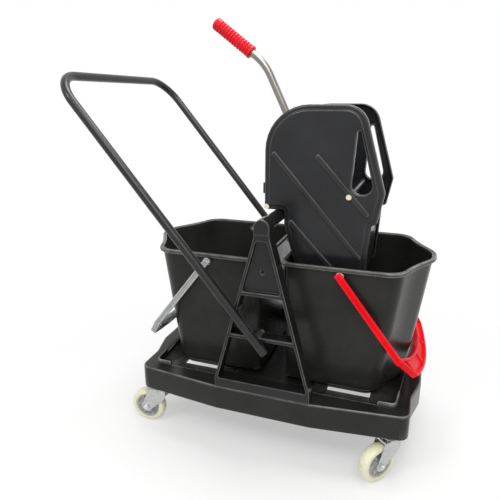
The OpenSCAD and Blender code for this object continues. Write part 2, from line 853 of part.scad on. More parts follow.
// Low wall over the cross bar, with the sleeve of the lower tie bolt and a lug
module wringer_back_wall() {
    wall_y = web_y - seat_gap;
    x = -plate_left + plate_t + seat_gap;
    top = bar_z + 84;
    tie = tie_points[0];
    color("#26272a") difference() {
        union() {
            upright(-wall_y, wall_y) translate([x, tie.y]) square([plate_t, top - tie.y]);
            rod(tie.x, tie.y, tie_tube_d, seat_gap - flange_y, flange_y - seat_gap);
            translate([x - 14, -flange_y + 2, bar_z + 52]) cube([14 + plate_t, 14, 26]);
        }
        rod(tie.x, tie.y, tie_d + 0.3, -plate_y, plate_y);
    }
}

module wringer_tie_spacer() {
    tie = tie_points[1];
    wall_y = web_y - seat_gap;
    color("#26272a") difference() {
        rod(tie.x, tie.y, tie_tube_d, -wall_y, wall_y);
        rod(tie.x, tie.y, tie_d + 0.3, -plate_y, plate_y);
    }
}

module wringer_tie_bolts() {
    head_h = 5;
    color("#d9cf9c") for (p = tie_points) {
        rod(p.x, p.y, tie_d * 1.6, -plate_y - head_h, -plate_y);
        rod(p.x, p.y, tie_d, -plate_y, plate_y + tie_d);
    }
}

module wringer_tie_nuts() {
    nut_h = 6;
    color("#d9cf9c") for (p = tie_points) difference() {
        translate([p.x, plate_y + nut_h, p.y]) rotate([90, 0, 0])
            cylinder(d = tie_d * 1.85, h = nut_h, $fn = 6);
        rod(p.x, p.y, tie_d + 2 * run_fit, plate_y - 1, plate_y + nut_h + 1);
    }
}

// Perforated front wall and floor between the plates, inside their flanges
module wringer_strainer() {
    wall_y = web_y - seat_gap;
    low = bar_z - plate_drop + plate_t + seat_gap;
    top = bar_z - 12;
    right = apex_x - plate_step - plate_t - seat_gap - 1;
    left = plate_foot_x + 16;
    lean = 6;
    rows = 5;
    cols = 9;
    color("#1f2022") difference() {
        upright(-wall_y, wall_y) polygon([
            [left, low], [right - 8, low], [right, low + 8], [right + lean, top],
            [right + lean - strainer_t, top], [right - strainer_t, low + 10],
            [right - 10, low + strainer_t], [left, low + strainer_t]
        ]);
        for (i = [0:cols - 1], k = [0:rows - 1]) {
            y = (i - (cols - 1) / 2) * 2.2 * drain_d;
            translate([right - 10, y, low + 26 + k * 1.9 * drain_d]) rotate([0, 90, 0])
                cylinder(d = drain_d, h = 30, $fn = 24);
            translate([left + 18 + k * 2.2 * drain_d, y, low - 1]) cylinder(d = drain_d, h = 20, $fn = 24);
        }
    }
}

module press_shaft() {
    end_y = web_y - 2 - seat_gap;
    color("#b9bcc0") rod(shaft_x, shaft_z, shaft_d, -end_y, end_y);
}

// Perforated press plate with a split hub on the shaft and stiffening ribs behind
module press_plate() {
    rows = 8;
    cols = 9;
    rib_deep = 8;
    pitch = 2.3 * drain_d;
    hole_y = 0.4 * drain_d - pitch * (cols - 1) / 2;
    hole_z = shaft_z - press_len + 16;
    hub_d = shaft_d + 12;
    color("#1f2022") difference() {
        union() {
            translate([shaft_x - press_t / 2, -press_y, shaft_z - press_len])
                cube([press_t, 2 * press_y, press_len]);
            rod(shaft_x, shaft_z, hub_d, -press_y, press_y);
            for (y = [-1, 0, 1])
                translate([shaft_x - press_t / 2 - rib_deep, y * press_y * 0.7 - press_t / 2, press_rib_low])
                    cube([rib_deep + 1, press_t, shaft_z - clamp_d - press_rib_low]);
        }
        rod(shaft_x, shaft_z, shaft_d + 2 * run_fit, -plate_y, plate_y);
        translate([shaft_x - clamp_d, -clamp_half - 1, shaft_z - clamp_d * 0.75])
            cube([2 * clamp_d, 2 * clamp_half + 2, 2 * clamp_d]);
        for (i = [0:cols - 1], k = [0:rows - 1])
            translate([shaft_x - press_t / 2 - rib_deep - 1, hole_y + i * pitch, hole_z + k * pitch])
                rotate([0, 90, 0]) cylinder(d = drain_d, h = press_t + rib_deep + 2, $fn = 24);
    }
}

// Places children with Z along the lever's lower run, from the shaft
module along_lever() {
    translate([shaft_x, 0, shaft_z]) rotate([0, -lever_lean, 0]) children();
}

// Socket of the lever on the shaft
module lever_clamp() {
    socket_len = 78;
    color("#26272a") difference() {
        union() {
            rod(shaft_x, shaft_z, clamp_d, -clamp_half, clamp_half);
            along_lever() cylinder(d = lever_d + 8, h = socket_len);
        }
        rod(shaft_x, shaft_z, shaft_d + 2 * run_fit, -clamp_half - 1, clamp_half + 1);
        along_lever() translate([0, 0, clamp_d / 2 + 4]) cylinder(d = lever_d + 2 * run_fit, h = socket_len);
    }
}

// Bent lever: both runs are bored as tubes up to the bend, which is a ball a little wider than the tube
module lever_tube() {
    start = clamp_d / 2 + 4 + seat_gap;
    end_cap = 4;
    bend_d = lever_d + 1;
    bore_d = lever_d - 2 * lever_t;
    color("#b7b2a8") along_lever() difference() {
        union() {
            translate([0, 0, start]) cylinder(d = lever_d, h = lever_lower - start);
            translate([0, 0, lever_lower]) {
                sphere(d = bend_d);
                rotate([0, -lever_kink, 0]) cylinder(d = lever_d, h = lever_upper - end_cap);
            }
        }
        translate([0, 0, start - 1]) cylinder(d = bore_d, h = lever_lower - start - bend_d);
        translate([0, 0, lever_lower]) rotate([0, -lever_kink, 0]) translate([0, 0, bend_d])
            cylinder(d = bore_d, h = lever_upper);
    }
}

// Ribbed grip with a domed end, turned about the upper run
module lever_grip() {
    rings = 11;
    groove = 1.6;
    r = grip_d / 2;
    pitch = (grip_len - 24) / rings;
    body = [for (i = [0:rings - 1]) each [
        [r - groove, 6 + i * pitch], [r - groove, 6 + (i + 0.35) * pitch],
        [r, 6 + (i + 0.5) * pitch], [r, 6 + (i + 0.85) * pitch]
    ]];
    dome = [for (a = [0:15:90]) [r - 6 + 6 * cos(a), grip_len - 6 + 6 * sin(a)]];
    along_lever() translate([0, 0, lever_lower]) rotate([0, -lever_kink, 0])
        translate([0, 0, lever_upper - grip_len]) color("#d8152a") difference() {
            rotate_extrude() polygon(concat([[0, 0], [r + 1, 0], [r + 1, 4]], body, dome, [[0, grip_len]]));
            translate([0, 0, -eps]) cylinder(d = lever_d + 2 * run_fit, h = grip_len - 4 + seat_gap);
        }
}

// Places children on the swivel axis of caster i
module at_swivel(i) {
    c = CASTERS[i];
    translate([c[1] * swivel_x, c[2] * swivel_y, 0]) children();
}

// Places children on the swivel axis of caster i, turned the way it trails
module at_caster(i) {
    at_swivel(i) rotate(CASTERS[i][3]) children();
}

chassis();
front_a_frame();
rear_a_frame();
cross_bar();
push_handle();
push_handle_plugs();
push_handle_bolts();
a_frame_screws();
caster_screws();
for (i = [0:3]) {
    place = CASTERS[i][0];
    at_swivel(i) caster_plate_part();
    at_swivel(i) caster_kingpin_part();
    at_caster(i) caster_fork_part();
    at_caster(i) caster_axle_part();
    at_caster(i) wheel_hub_part();
    at_caster(i) wheel_tyre_part();
}
left_bucket();
right_bucket();
left_bail();
right_bail();
wringer_front_plate();
wringer_rear_plate();
wringer_back_wall();
wringer_strainer();
wringer_tie_bolts();
wringer_tie_nuts();
wringer_tie_spacer();
press_shaft();
press_plate();
lever_clamp();
lever_tube();
lever_grip();
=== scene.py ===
import json
import math

import bmesh
import bpy
import numpy as np
from mathutils import Matrix
from mathutils.geometry import tessellate_polygon


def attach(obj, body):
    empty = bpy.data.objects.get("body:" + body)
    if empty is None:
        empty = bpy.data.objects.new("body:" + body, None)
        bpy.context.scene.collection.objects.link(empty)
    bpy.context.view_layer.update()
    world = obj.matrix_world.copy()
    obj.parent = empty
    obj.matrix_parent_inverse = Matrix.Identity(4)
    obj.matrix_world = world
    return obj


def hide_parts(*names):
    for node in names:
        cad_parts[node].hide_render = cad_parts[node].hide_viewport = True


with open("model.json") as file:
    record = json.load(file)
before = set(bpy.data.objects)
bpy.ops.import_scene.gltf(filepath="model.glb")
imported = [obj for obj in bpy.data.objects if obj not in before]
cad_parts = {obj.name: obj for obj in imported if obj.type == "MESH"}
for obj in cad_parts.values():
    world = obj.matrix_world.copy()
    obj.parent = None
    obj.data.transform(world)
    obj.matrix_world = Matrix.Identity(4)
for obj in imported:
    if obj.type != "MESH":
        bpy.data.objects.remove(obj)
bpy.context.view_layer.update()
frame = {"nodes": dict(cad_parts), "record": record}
MM = 0.001
PLACES = ("front_left", "front_right", "rear_left", "rear_right")


# Finishes

class Finish:
    """A node material under construction: a principled shader with textures on Object coordinates."""

    def __init__(self, name, base, rough, metal=0.0, **sockets):
        self.mat = bpy.data.materials.new(name)
        self.mat.use_nodes = True
        self.tree = self.mat.node_tree
        self.shader = self.tree.nodes["Principled BSDF"]
        self.shader.inputs["Base Color"].default_value = (*base, 1)
        self.shader.inputs["Roughness"].default_value = rough
        self.shader.inputs["Metallic"].default_value = metal
        for socket, value in sockets.items():
            self.shader.inputs[socket.replace("_", " ")].default_value = value
        self.where = self.tree.nodes.new("ShaderNodeTexCoord").outputs["Object"]
        self.bumped = None

    def node(self, kind, **values):
        """Adds a node; values set its properties, or its sockets when the key is not a property."""
        n = self.tree.nodes.new("ShaderNode" + kind)
        for key, value in values.items():
            if hasattr(n, key):
                setattr(n, key, value)
            else:
                n.inputs[key.replace("_", " ")].default_value = value
        return n

    def join(self, out, into):
        self.tree.links.new(out, into)

    def spread(self, scale=(1, 1, 1), turn=(0, 0, 0)):
        """Object coordinates, stretched and turned."""
        m = self.node("Mapping")
        m.inputs["Scale"].default_value = scale
        m.inputs["Rotation"].default_value = turn
        self.join(self.where, m.inputs["Vector"])
        return m.outputs["Vector"]

    def noise(self, scale, detail=3.0, rough=0.5, vector=None):
        n = self.node("TexNoise", Scale=scale, Detail=detail, Roughness=rough)
        self.join(vector or self.where, n.inputs["Vector"])
        return n.outputs["Fac"]

    def band(self, value, low, high, to_low=0.0, to_high=1.0):
        """Value mapped from low..high to to_low..to_high, clamped."""
        n = self.node("MapRange", From_Min=low, From_Max=high, To_Min=to_low, To_Max=to_high)
        self.join(value, n.inputs["Value"])
        return n.outputs["Result"]

    def math(self, kind, a, b):
        n = self.node("Math", operation=kind)
        for socket, value in zip(n.inputs, (a, b)):
            if isinstance(value, (int, float)):
                socket.default_value = value
            else:
                self.join(value, socket)
        return n.outputs["Value"]

    def blend(self, amount, first, second):
        """Colour that goes from first to second with amount; each is a colour or an output."""
        n = self.node("Mix", data_type="RGBA")
        self.join(amount, n.inputs["Factor"])
        slots = [s for s in n.inputs if s.type == "RGBA"]
        for socket, value in zip(slots, (first, second)):
            if isinstance(value, tuple):
                socket.default_value = (*value, 1)
            else:
                self.join(value, socket)
        return [s for s in n.outputs if s.type == "RGBA"][0]

    def colour(self, out):
        self.join(out, self.shader.inputs["Base Color"])

    def roughness(self, out):
        self.join(out, self.shader.inputs["Roughness"])

    def bump(self, height, distance, strength=1.0):
        """Adds a relief of the given depth in metres; reliefs add up."""
        n = self.node("Bump", Distance=distance, Strength=strength)
        self.join(height, n.inputs["Height"])
        if self.bumped:
            self.join(self.bumped, n.inputs["Normal"])
        self.bumped = n.outputs["Normal"]
        self.join(self.bumped, self.shader.inputs["Normal"])


def moulded(name, base, rough, grain=0.00006, scuff=0.25, wear_and_highlight=(0.13, 0.13, 0.12), **sockets):
    """Moulded plastic: fine grain, soft mottling, faint drawn scuffs, and tight outward corners painted
    paler, a painted highlight along the edges mixed with edge wear, as a point attribute says."""
    f = Finish(name, base, rough, **sockets)
    mottle = f.noise(9, 4, 0.55)
    pale = tuple(min(1.0, c * 1.28 + 0.004) for c in base)
    dark = tuple(c * 0.82 for c in base)
    body = f.blend(f.band(mottle, 0.3, 0.7), dark, pale)
    drawn = f.noise(60, 6, 0.7, f.spread((1, 1, 14), (0.5, 0.4, 0.3)))
    lines = f.math("MULTIPLY", f.band(drawn, 0.62, 0.74), f.band(f.noise(5, 2), 0.5, 0.7))
    wear_and_sheen = tuple(min(1.0, c * 1.5 + 0.02) for c in base)
    body = f.blend(f.math("MULTIPLY", lines, scuff), body, wear_and_sheen)
    # Tight outward corners are painted paler: a painted edge highlight, partly edge wear.
    corner = f.node("Attribute", attribute_name="wear_and_sheen").outputs["Fac"]
    f.colour(f.blend(f.math("MULTIPLY", corner, f.band(f.noise(40, 3), 0.3, 0.6, 0.5, 1.0)), body, wear_and_highlight))
    f.roughness(f.band(f.noise(22, 5, 0.6), 0.25, 0.75, rough - 0.05, rough + 0.09))
    f.bump(f.noise(1400, 2, 0.5), grain, 0.5)
    f.bump(f.noise(9, 2, 0.4), 0.0005, 0.3)
    return f.mat


def plated(name, base, rough, cells=260.0, **sockets):
    """Zinc-plated steel: crystal patches of slightly different tone, with a fine brushed relief."""
    f = Finish(name, base, rough, 1.0, **sockets)
    v = f.node("TexVoronoi", Scale=cells)
    f.join(f.where, v.inputs["Vector"])
    tone = f.band(v.outputs["Color"], 0.1, 0.9)
    f.colour(f.blend(tone, tuple(c * 0.86 for c in base), tuple(min(1.0, c * 1.1) for c in base)))
    f.roughness(f.band(f.noise(90, 4, 0.6), 0.3, 0.7, rough - 0.08, rough + 0.1))
    f.bump(f.noise(700, 3, 0.6), 0.00005)
    return f.mat


def drawn_steel(name, base, rough, **sockets):
    """Drawn tube: long fine streaks along the tube and a slow change of tone."""
    f = Finish(name, base, rough, 1.0, **sockets)
    streak = f.noise(160, 3, 0.5, f.spread((1, 1, 0.04)))
    slow = f.noise(14, 3)
    tone = f.blend(f.band(slow, 0.3, 0.7), tuple(c * 0.9 for c in base), base)
    f.colour(f.blend(f.band(streak, 0.45, 0.8, 0, 0.25), tone, tuple(min(1.0, c * 1.12) for c in base)))
    f.roughness(f.band(slow, 0.3, 0.7, rough - 0.03, rough + 0.05))
    return f.mat


def painted(name, base, rough, **sockets):
    """Powder-painted tube: orange-peel relief with a few dull rubbed patches."""
    f = Finish(name, base, rough, **sockets)
    wear_and_highlight = f.band(f.noise(18, 5, 0.65), 0.52, 0.72)
    f.colour(f.blend(wear_and_highlight, base, tuple(c * 1.35 + 0.006 for c in base)))
    f.roughness(f.band(wear_and_highlight, 0, 1, rough, rough + 0.14))
    f.bump(f.noise(700, 2, 0.5), 0.00004, 0.6)
    return f.mat


def tread(name, base, rough, **sockets):
    """Pale thermoplastic tyre: soft grime that gathers in specks, over a satin ground."""
    f = Finish(name, base, rough, **sockets)
    grime = f.math("MULTIPLY", f.band(f.noise(70, 6, 0.7), 0.5, 0.8), f.band(f.noise(16, 3), 0.35, 0.75))
    f.colour(f.blend(grime, base, tuple(c * 0.55 for c in base)))
    f.roughness(f.band(f.noise(120, 4), 0.3, 0.7, rough - 0.05, rough + 0.12))
    f.bump(f.noise(900, 3, 0.6), 0.00008)
    return f.mat


# Each finish's paler colour for tight outward edges is a painted highlight along the edges, partly edge wear.
CHASSIS_BLACK = moulded("chassis_black", (0.0125, 0.0128, 0.0108), 0.22, scuff=0.3,
                        wear_and_highlight=(0.40, 0.40, 0.38), Specular_IOR_Level=0.25)
FRAME_BLACK = moulded("frame_black", (0.0075, 0.0078, 0.0078), 0.20, scuff=0.25,
                      wear_and_highlight=(0.10, 0.10, 0.095), Specular_IOR_Level=0.32)
BUCKET_BLACK = moulded("bucket_black", (0.0200, 0.0196, 0.0172), 0.22, grain=0.00002, scuff=0.25,
                       wear_and_highlight=(0.52, 0.52, 0.50), Specular_IOR_Level=0.17)
WRINGER_BLACK = moulded("wringer_black", (0.0130, 0.0134, 0.0150), 0.22, scuff=0.2,
                        wear_and_highlight=(0.11, 0.11, 0.11), Specular_IOR_Level=0.31)
CAP_BLACK = moulded("cap_black", (0.010, 0.010, 0.011), 0.5, Specular_IOR_Level=0.3)
TUBE_BLACK = painted("tube_black", (0.0100, 0.0102, 0.0100), 0.26, Specular_IOR_Level=0.42)
ZINC = plated("zinc_caster", (0.52, 0.53, 0.52), 0.26)
ZINC_FASTENER = plated("zinc_fastener", (0.72, 0.73, 0.75), 0.28, cells=420.0)
YELLOW_ZINC = plated("yellow_zinc", (0.86, 0.80, 0.60), 0.34, cells=420.0)
LEVER_STEEL = drawn_steel("lever_steel", (0.27, 0.26, 0.232), 0.26)
SHAFT_STEEL = drawn_steel("shaft_steel", (0.52, 0.52, 0.53), 0.34)
HUB_GREY = moulded("hub_grey", (0.42, 0.42, 0.40), 0.5, wear_and_highlight=(0.52, 0.52, 0.50))
TYRE_PALE = tread("tyre_pale", (0.82, 0.80, 0.59), 0.5)
BAIL_GREY = moulded("bail_grey", (0.33, 0.34, 0.345), 0.36, wear_and_highlight=(0.52, 0.53, 0.53))
BAIL_RED = moulded("bail_red", (0.80, 0.001, 0.008), 0.3, grain=0.00003, scuff=0.03,
                   wear_and_highlight=(0.95, 0.02, 0.03), Specular_IOR_Level=0.06)
GRIP_RED = moulded("grip_red", (0.66, 0.002, 0.014), 0.24, grain=0.00003, scuff=0.05,
                   wear_and_highlight=(0.70, 0.01, 0.02), Specular_IOR_Level=0.2)

FINISH_OF_SLOT = {
    "black_moulding": CHASSIS_BLACK, "bucket_black": BUCKET_BLACK, "wringer_black": WRINGER_BLACK,
    "black_tube": TUBE_BLACK, "black_cap": CAP_BLACK, "zinc_caster": ZINC, "zinc_fastener": ZINC_FASTENER,
    "yellow_zinc": YELLOW_ZINC, "steel_shaft": SHAFT_STEEL, "lever_steel": LEVER_STEEL,
    "hub_grey": HUB_GREY, "tyre_pale": TYRE_PALE, "bail_grey": BAIL_GREY, "bail_red": BAIL_RED,
    "grip_red": GRIP_RED,
}
SLOT_OF = {part["node"]: part["material_slot"] for part in frame["record"]["subparts"]}
BODY_OF = {node: body for body, nodes in frame["record"]["behaviour"]["bodies"].items() for node in nodes}


def finish_solid(node, finish):
    """Puts one finish on every slot of a CAD node."""
    for slot in frame["nodes"][node].material_slots:
        slot.material = finish


for node, slot in SLOT_OF.items():
    finish_solid(node, FINISH_OF_SLOT[slot])
for node in ("front_a_frame", "rear_a_frame"):
    finish_solid(node, FRAME_BLACK)


# Shapes: outlines are drawn flat, stacked into rings, and the rings are joined by faces

LEAST_R = 0.4


def unit(v):
    return v / np.linalg.norm(v, axis=-1, keepdims=True)


def moved(points, out):
    """Anticlockwise closed outline moved out by `out`, each point along the mitre of its two edges."""
    before = unit(points - np.roll(points, 1, 0))
    after = unit(np.roll(points, -1, 0) - points)
    n1 = np.stack([before[:, 1], -before[:, 0]], -1)
    n2 = np.stack([after[:, 1], -after[:, 0]], -1)
    return points + out * (n1 + n2) / (1 + (n1 * n2).sum(-1, keepdims=True))


def outline(corners, out=0.0, steps=7):
    """Closed outline through corners (a, b, radius), moved out by `out`: each corner becomes the arc that
    touches both of its edges, whose radius grows with `out` where the corner points out."""
    c = np.asarray(corners, float)
    p, r = moved(c[:, :2], out), c[:, 2:]
    u, v = unit(np.roll(p, 1, 0) - p), unit(np.roll(p, -1, 0) - p)
    turns_out = np.sign(v[:, :1] * u[:, 1:] - v[:, 1:] * u[:, :1])
    r = np.maximum(r + out * turns_out, LEAST_R)
    half = np.arccos(np.clip((u * v).sum(1, keepdims=True), -1, 1)) / 2
    mid = p + unit(u + v) * r / np.sin(half)
    start, stop = p + u * r / np.tan(half) - mid, p + v * r / np.tan(half) - mid
    turn = np.arctan2(start[:, 0] * stop[:, 1] - start[:, 1] * stop[:, 0], (start * stop).sum(1))
    a = np.arctan2(start[:, 1], start[:, 0])[:, None] + turn[:, None] * np.linspace(0, 1, steps + 1)[None]
    return (mid[:, None] + r[:, None] * np.stack([np.cos(a), np.sin(a)], -1)).reshape(-1, 2)


def stadium(a, b, r, steps=10):
    """Outline of a slot from a to b with round ends of radius r."""
    along = math.atan2(b[1] - a[1], b[0] - a[0])
    t = along + np.linspace(math.pi / 2, 3 * math.pi / 2, steps)
    first = np.array(a) + r * np.stack([np.cos(t), np.sin(t)], -1)
    second = np.array(b) - r * np.stack([np.cos(t), np.sin(t)], -1)
    return np.vstack([first, second])


def circle(at, r, n=32):
    t = np.linspace(0, 2 * math.pi, n, endpoint=False)
    return np.array(at) + r * np.stack([np.cos(t), np.sin(t)], -1)


def level(flat, height):
    """Outline given a third coordinate, its height."""
    return np.column_stack([flat, np.full(len(flat), height)])


def upright(points):
    """Drawn in X and Z with Y as the height."""
    return points[..., [0, 2, 1]]


def rings(corners, rows, steps=9):
    """Stack of outlines through the same corners; each row is (how far it is moved out, its height)."""
    return np.stack([level(outline(corners, out, steps), height) for out, height in rows])


def discs(at, rows, n=32):
    """Stack of circles about one axis; each row is (radius, height)."""
    return np.stack([level(circle(at, r, n), height) for r, height in rows])


CLOSED, OPEN, LOOPED = "closed", "open", "looped"


class Shell:
    """Points and faces of one piece, in millimetres until it is made."""

    def __init__(self):
        self.points = []
        self.faces = []
        self.count = 0

    def add(self, points):
        """Takes in an array of points and gives the number of its first."""
        first = self.count
        flat = np.asarray(points, float).reshape(-1, 3)
        self.points.append(flat)
        self.count += len(flat)
        return first

    def stack(self, grid, ends=CLOSED):
        """Joins rings of equal length, an array (ring, point, xyz), by quads. CLOSED puts a face on the first
        and the last ring, OPEN leaves both open, and LOOPED joins the last ring to the first."""
        grid = np.asarray(grid, float)
        k, n = grid.shape[:2]
        first = self.add(grid)
        rows = k if ends == LOOPED else k - 1
        i, j = np.meshgrid(np.arange(rows), np.arange(n), indexing="ij")
        i2, j2 = (i + 1) % k, (j + 1) % n
        quads = np.stack([i * n + j, i * n + j2, i2 * n + j2, i2 * n + j], -1).reshape(-1, 4) + first
        self.faces += quads.tolist()
        if ends == CLOSED:
            self.faces.append(list(range(first + n - 1, first - 1, -1)))
            self.faces.append(list(range(first + (k - 1) * n, first + k * n)))

    def sheet(self, loops):
        """Flat face bounded by the first loop, with the other loops as holes; each is an array of points."""
        first = self.add(np.vstack(loops))
        triangles = tessellate_polygon([loop.tolist() for loop in loops])
        self.faces += [[first + v for v in t] for t in triangles]


DATUM = 16.0
MERGE_M = 2e-6
FLAT_BEND, TIGHT_BEND, SHORTEST = 0.05, 0.22, 0.3
LEVEL_DEGREES, BEVEL_DEGREES, BEVEL_STEPS = 1.0, 35.0, 3


def make(name, shell, finish, body, replaces, smooth=34, datum=DATUM):
    """Turns a shell into an object. Heights of all that stands on the casters are read from a level that lies
    DATUM above the floor; the faces turn outwards and are smooth but for edges sharper than `smooth`."""
    mesh = bpy.data.meshes.new(name)
    mesh.from_pydata(((np.vstack(shell.points) + (0, 0, datum)) * MM).tolist(), [], shell.faces)
    dress(name, mesh, finish, body, replaces, smooth)
    # Mask for the painted edge highlight, partly edge wear.
    mark_lit_and_worn_edges(mesh)


def mark_lit_and_worn_edges(mesh):
    """Point attribute that masks the painted edge highlight and edge wear: 0 where the surface is flat or
    hollow and
    1 where it bends out tightly. The bend, per mm, is twice the mean over a point's edges of the drop below
    its tangent plane, divided by the edge's length squared."""
    count = len(mesh.vertices)
    at, normal = np.empty(count * 3), np.empty(count * 3)
    ends = np.empty(len(mesh.edges) * 2, int)
    mesh.vertices.foreach_get("co", at)
    mesh.vertices.foreach_get("normal", normal)
    mesh.edges.foreach_get("vertices", ends)
    at, normal, ends = at.reshape(-1, 3) / MM, normal.reshape(-1, 3), ends.reshape(-1, 2)
    bend, edges = np.zeros(count), np.zeros(count)
    for a, b in ((0, 1), (1, 0)):
        run = at[ends[:, a]] - at[ends[:, b]]
        drop = (run * normal[ends[:, a]]).sum(1) / np.maximum((run ** 2).sum(1), SHORTEST ** 2)
        np.add.at(bend, ends[:, a], drop)
        np.add.at(edges, ends[:, a], 1)
    wear_and_sheen = np.clip((2 * bend / np.maximum(edges, 1) - FLAT_BEND) / (TIGHT_BEND - FLAT_BEND), 0, 1)
    mesh.attributes.new("wear_and_sheen", "FLOAT", "POINT").data.foreach_set("value", wear_and_sheen)


def merge_doubles(bm):
    bmesh.ops.remove_doubles(bm, verts=bm.verts, dist=MERGE_M)


def dress(name, mesh, finish, body, replaces, smooth):
    """Closes a mesh, turns its faces outwards, gives it its finish and puts it in the scene as a piece."""
    bm = bmesh.new()
    bm.from_mesh(mesh)
    merge_doubles(bm)
    bmesh.ops.recalc_face_normals(bm, faces=bm.faces)
    bm.to_mesh(mesh)
    bm.free()
    mesh.materials.clear()
    mesh.materials.append(finish)
    mesh.shade_smooth()
    mesh.set_sharp_from_angle(angle=math.radians(smooth))
    thing = bpy.data.objects.new(name, mesh)
    bpy.context.scene.collection.objects.link(thing)
    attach(thing, body)
    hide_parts(*replaces)
    return thing


def softened(node, width):
    """The CAD solid with its edges rounded by `width` mm, in place of the sharp one."""
    mesh = frame["nodes"][node].data.copy()
    bm = bmesh.new()
    bm.from_mesh(mesh)
    merge_doubles(bm)
    limit = math.radians(LEVEL_DEGREES)
    bmesh.ops.dissolve_limit(bm, angle_limit=limit, verts=bm.verts, edges=bm.edges)
    bm.to_mesh(mesh)
    bm.free()
    slot = SLOT_OF[node]
    thing = dress(node + "_moulding", mesh, FINISH_OF_SLOT[slot], BODY_OF[node], (node,), 40)
    bevel = thing.modifiers.new("edges", "BEVEL")
    bevel.width = width * MM
    bevel.segments = BEVEL_STEPS
    bevel.limit_method = "ANGLE"
    bevel.angle_limit = math.radians(BEVEL_DEGREES)
    bevel.use_clamp_overlap = True
    bevel.harden_normals = True


# Buckets

WALL_TOP_Z, STEP_Z, WALL = 497.0, 183.0, 3.0
RIM_IN_X, RIM_NOSE_X, RIM_SHOULDER_X, RIM_Y, ROLL = 20.0, 383.0, 308.0, 188.0, 9.0
INNER_LEAN, FOOT_LEAN, FOOT_OUT = 8.0, 68.0, -5.0
SHOULDER_LEAN, NOSE_LEAN, SIDE_LEAN = 34.0, 40.0, 21.0
SHOULDER_SHARE, FLANK_HOLLOW, NOSE_Y = 0.6, 8.0, 28.0
CORNER_R, CORNER_LOSS = 20.0, 4.0
SHOULDER_TIMES, FLANK_TIMES, NOSE_TIMES = 2.5, 20.0, 4.0
BAIL_X, BAIL_Z = 170.0, 486.0


def bucket_ring(at, out, z):
    """One ring of the bucket: its plan at the wall's top (at 0) or at the step (at 1), moved out, at height
    z. The inner end is straight and nearly upright. The foot, which lies further in than FOOT_OUT, is set
    back from it. The outer end is a prow whose flanks curve inwards."""
    lean = FOOT_LEAN if out < FOOT_OUT else INNER_LEAN
    inner = RIM_IN_X + ROLL + lean * at - out
    shoulder = RIM_SHOULDER_X - ROLL / 2 - SHOULDER_LEAN * at + out * SHOULDER_SHARE
    nose = RIM_NOSE_X - ROLL - NOSE_LEAN * at + out
    y = RIM_Y - ROLL - SIDE_LEAN * at + out
    r = CORNER_R - CORNER_LOSS * at
    flank_x, flank_y = (shoulder + nose) / 2 - FLANK_HOLLOW, (y + NOSE_Y) / 2
    near = [(inner, -y, r), (shoulder, -y, SHOULDER_TIMES * r), (flank_x, -flank_y, FLANK_TIMES * r),
            (nose, -NOSE_Y, NOSE_TIMES * r)]
    far = [(a, -b, c) for a, b, c in reversed(near)]
    return level(outline(near + far, steps=9), z)


def bucket_profile():
    """(at, out, z) from the foot's underside up the outside, over the rolled rim and down the inside."""
    steep = WALL_TOP_Z - STEP_Z
    wall = [((WALL_TOP_Z - z) / steep, z) for z in np.linspace(214, 494, 9)]
    foot = [(1, -22, 165), (1, -14, 165), (1, -11, 166), (1, -10, 169), (1, -8.6, 174), (1, -8, 177),
            (1, -6, 179.5)]
    ledge = [(1, -2, 180.5), (1, 0.4, 181.4), (1, 1.8, 183.4), (0.98, 2.4, 187), (0.97, 2.2, 192),
             (0.95, 1.5, 198), (0.93, 0.6, 204), (0.91, 0.1, 210)]
    outer = [(a, 0, z) for a, z in wall]
    bead = [(0, 0.6, 497.5), (0, 2.4, 498.2), (0, 4.6, 497.2), (0, 6.4, 496.6), (0, 8, 497.6),
            (0, 8.9, 500), (0, 9, 502.6), (0, 8.2, 505.2), (0, 6.2, 506.8), (0, 3, 507), (0, 0, 506.4),
            (0, -2, 505), (0, -3, 502)]
    inner = [(a, -WALL, z) for a, z in reversed(wall)]
    floor = [(0.93, -2.6, 204), (0.96, -1.4, 197), (0.98, -0.8, 191), (1, -1.6, 186.5), (1, -6, 184.5),
             (1, -10.5, 181), (1, -12, 178), (1, -13, 174), (1, -15, 171), (1, -19, 168.4), (1, -26, 168)]
    return foot + ledge + outer + bead + inner + floor


def make_bucket(side, name, body):
    """Tub of rings, with a round boss on each long wall for the bail's stub pin."""
    shell = Shell()
    shell.stack(np.stack([bucket_ring(*p) for p in bucket_profile()]))
    boss = [(10, 172), (10.4, 184), (10, 187.6), (8.8, 188.6), (6, 188.7)]
    for s in (-1, 1):
        shell.stack(upright(discs((BAIL_X, BAIL_Z), boss)) * (1, s, 1))
    shell.points = [p * (side, 1, 1) for p in shell.points]
    make(name + "_tub", shell, BUCKET_BLACK, body, (name,))


make_bucket(1, "right_bucket", "right_tub")
make_bucket(-1, "left_bucket", "left_tub")


# Wringer side plates

SHAFT = (47.0, 715.0)
PLATE_CORNERS = [(17.5, 622.3, 4), (17.5, 585, 8), (60, 445, 12), (221, 445, 12), (229, 600, 5),
                 (240, 603, 8), (254, 676, 12), (195, 872, 55), (-33, 872, 106), (-33, 622.3, 6)]
HOLE_CORNERS = [(176, 672, 21), (231, 672, 21), (192, 815, 3.5), (184, 815, 3.5)]
PLATE_RIBS = [((-8, 758), (204, 521)), ((98, 755), (216, 628)), ((38, 595), (138, 491))]
PANEL_Y, WEB_BACK_Y = 138.0, 134.0
RIB_FOOT_R, RIB_TOP_R, RIB_ROUND, RIB_HEIGHT = 7.6, 2.6, 4.2, 4.6


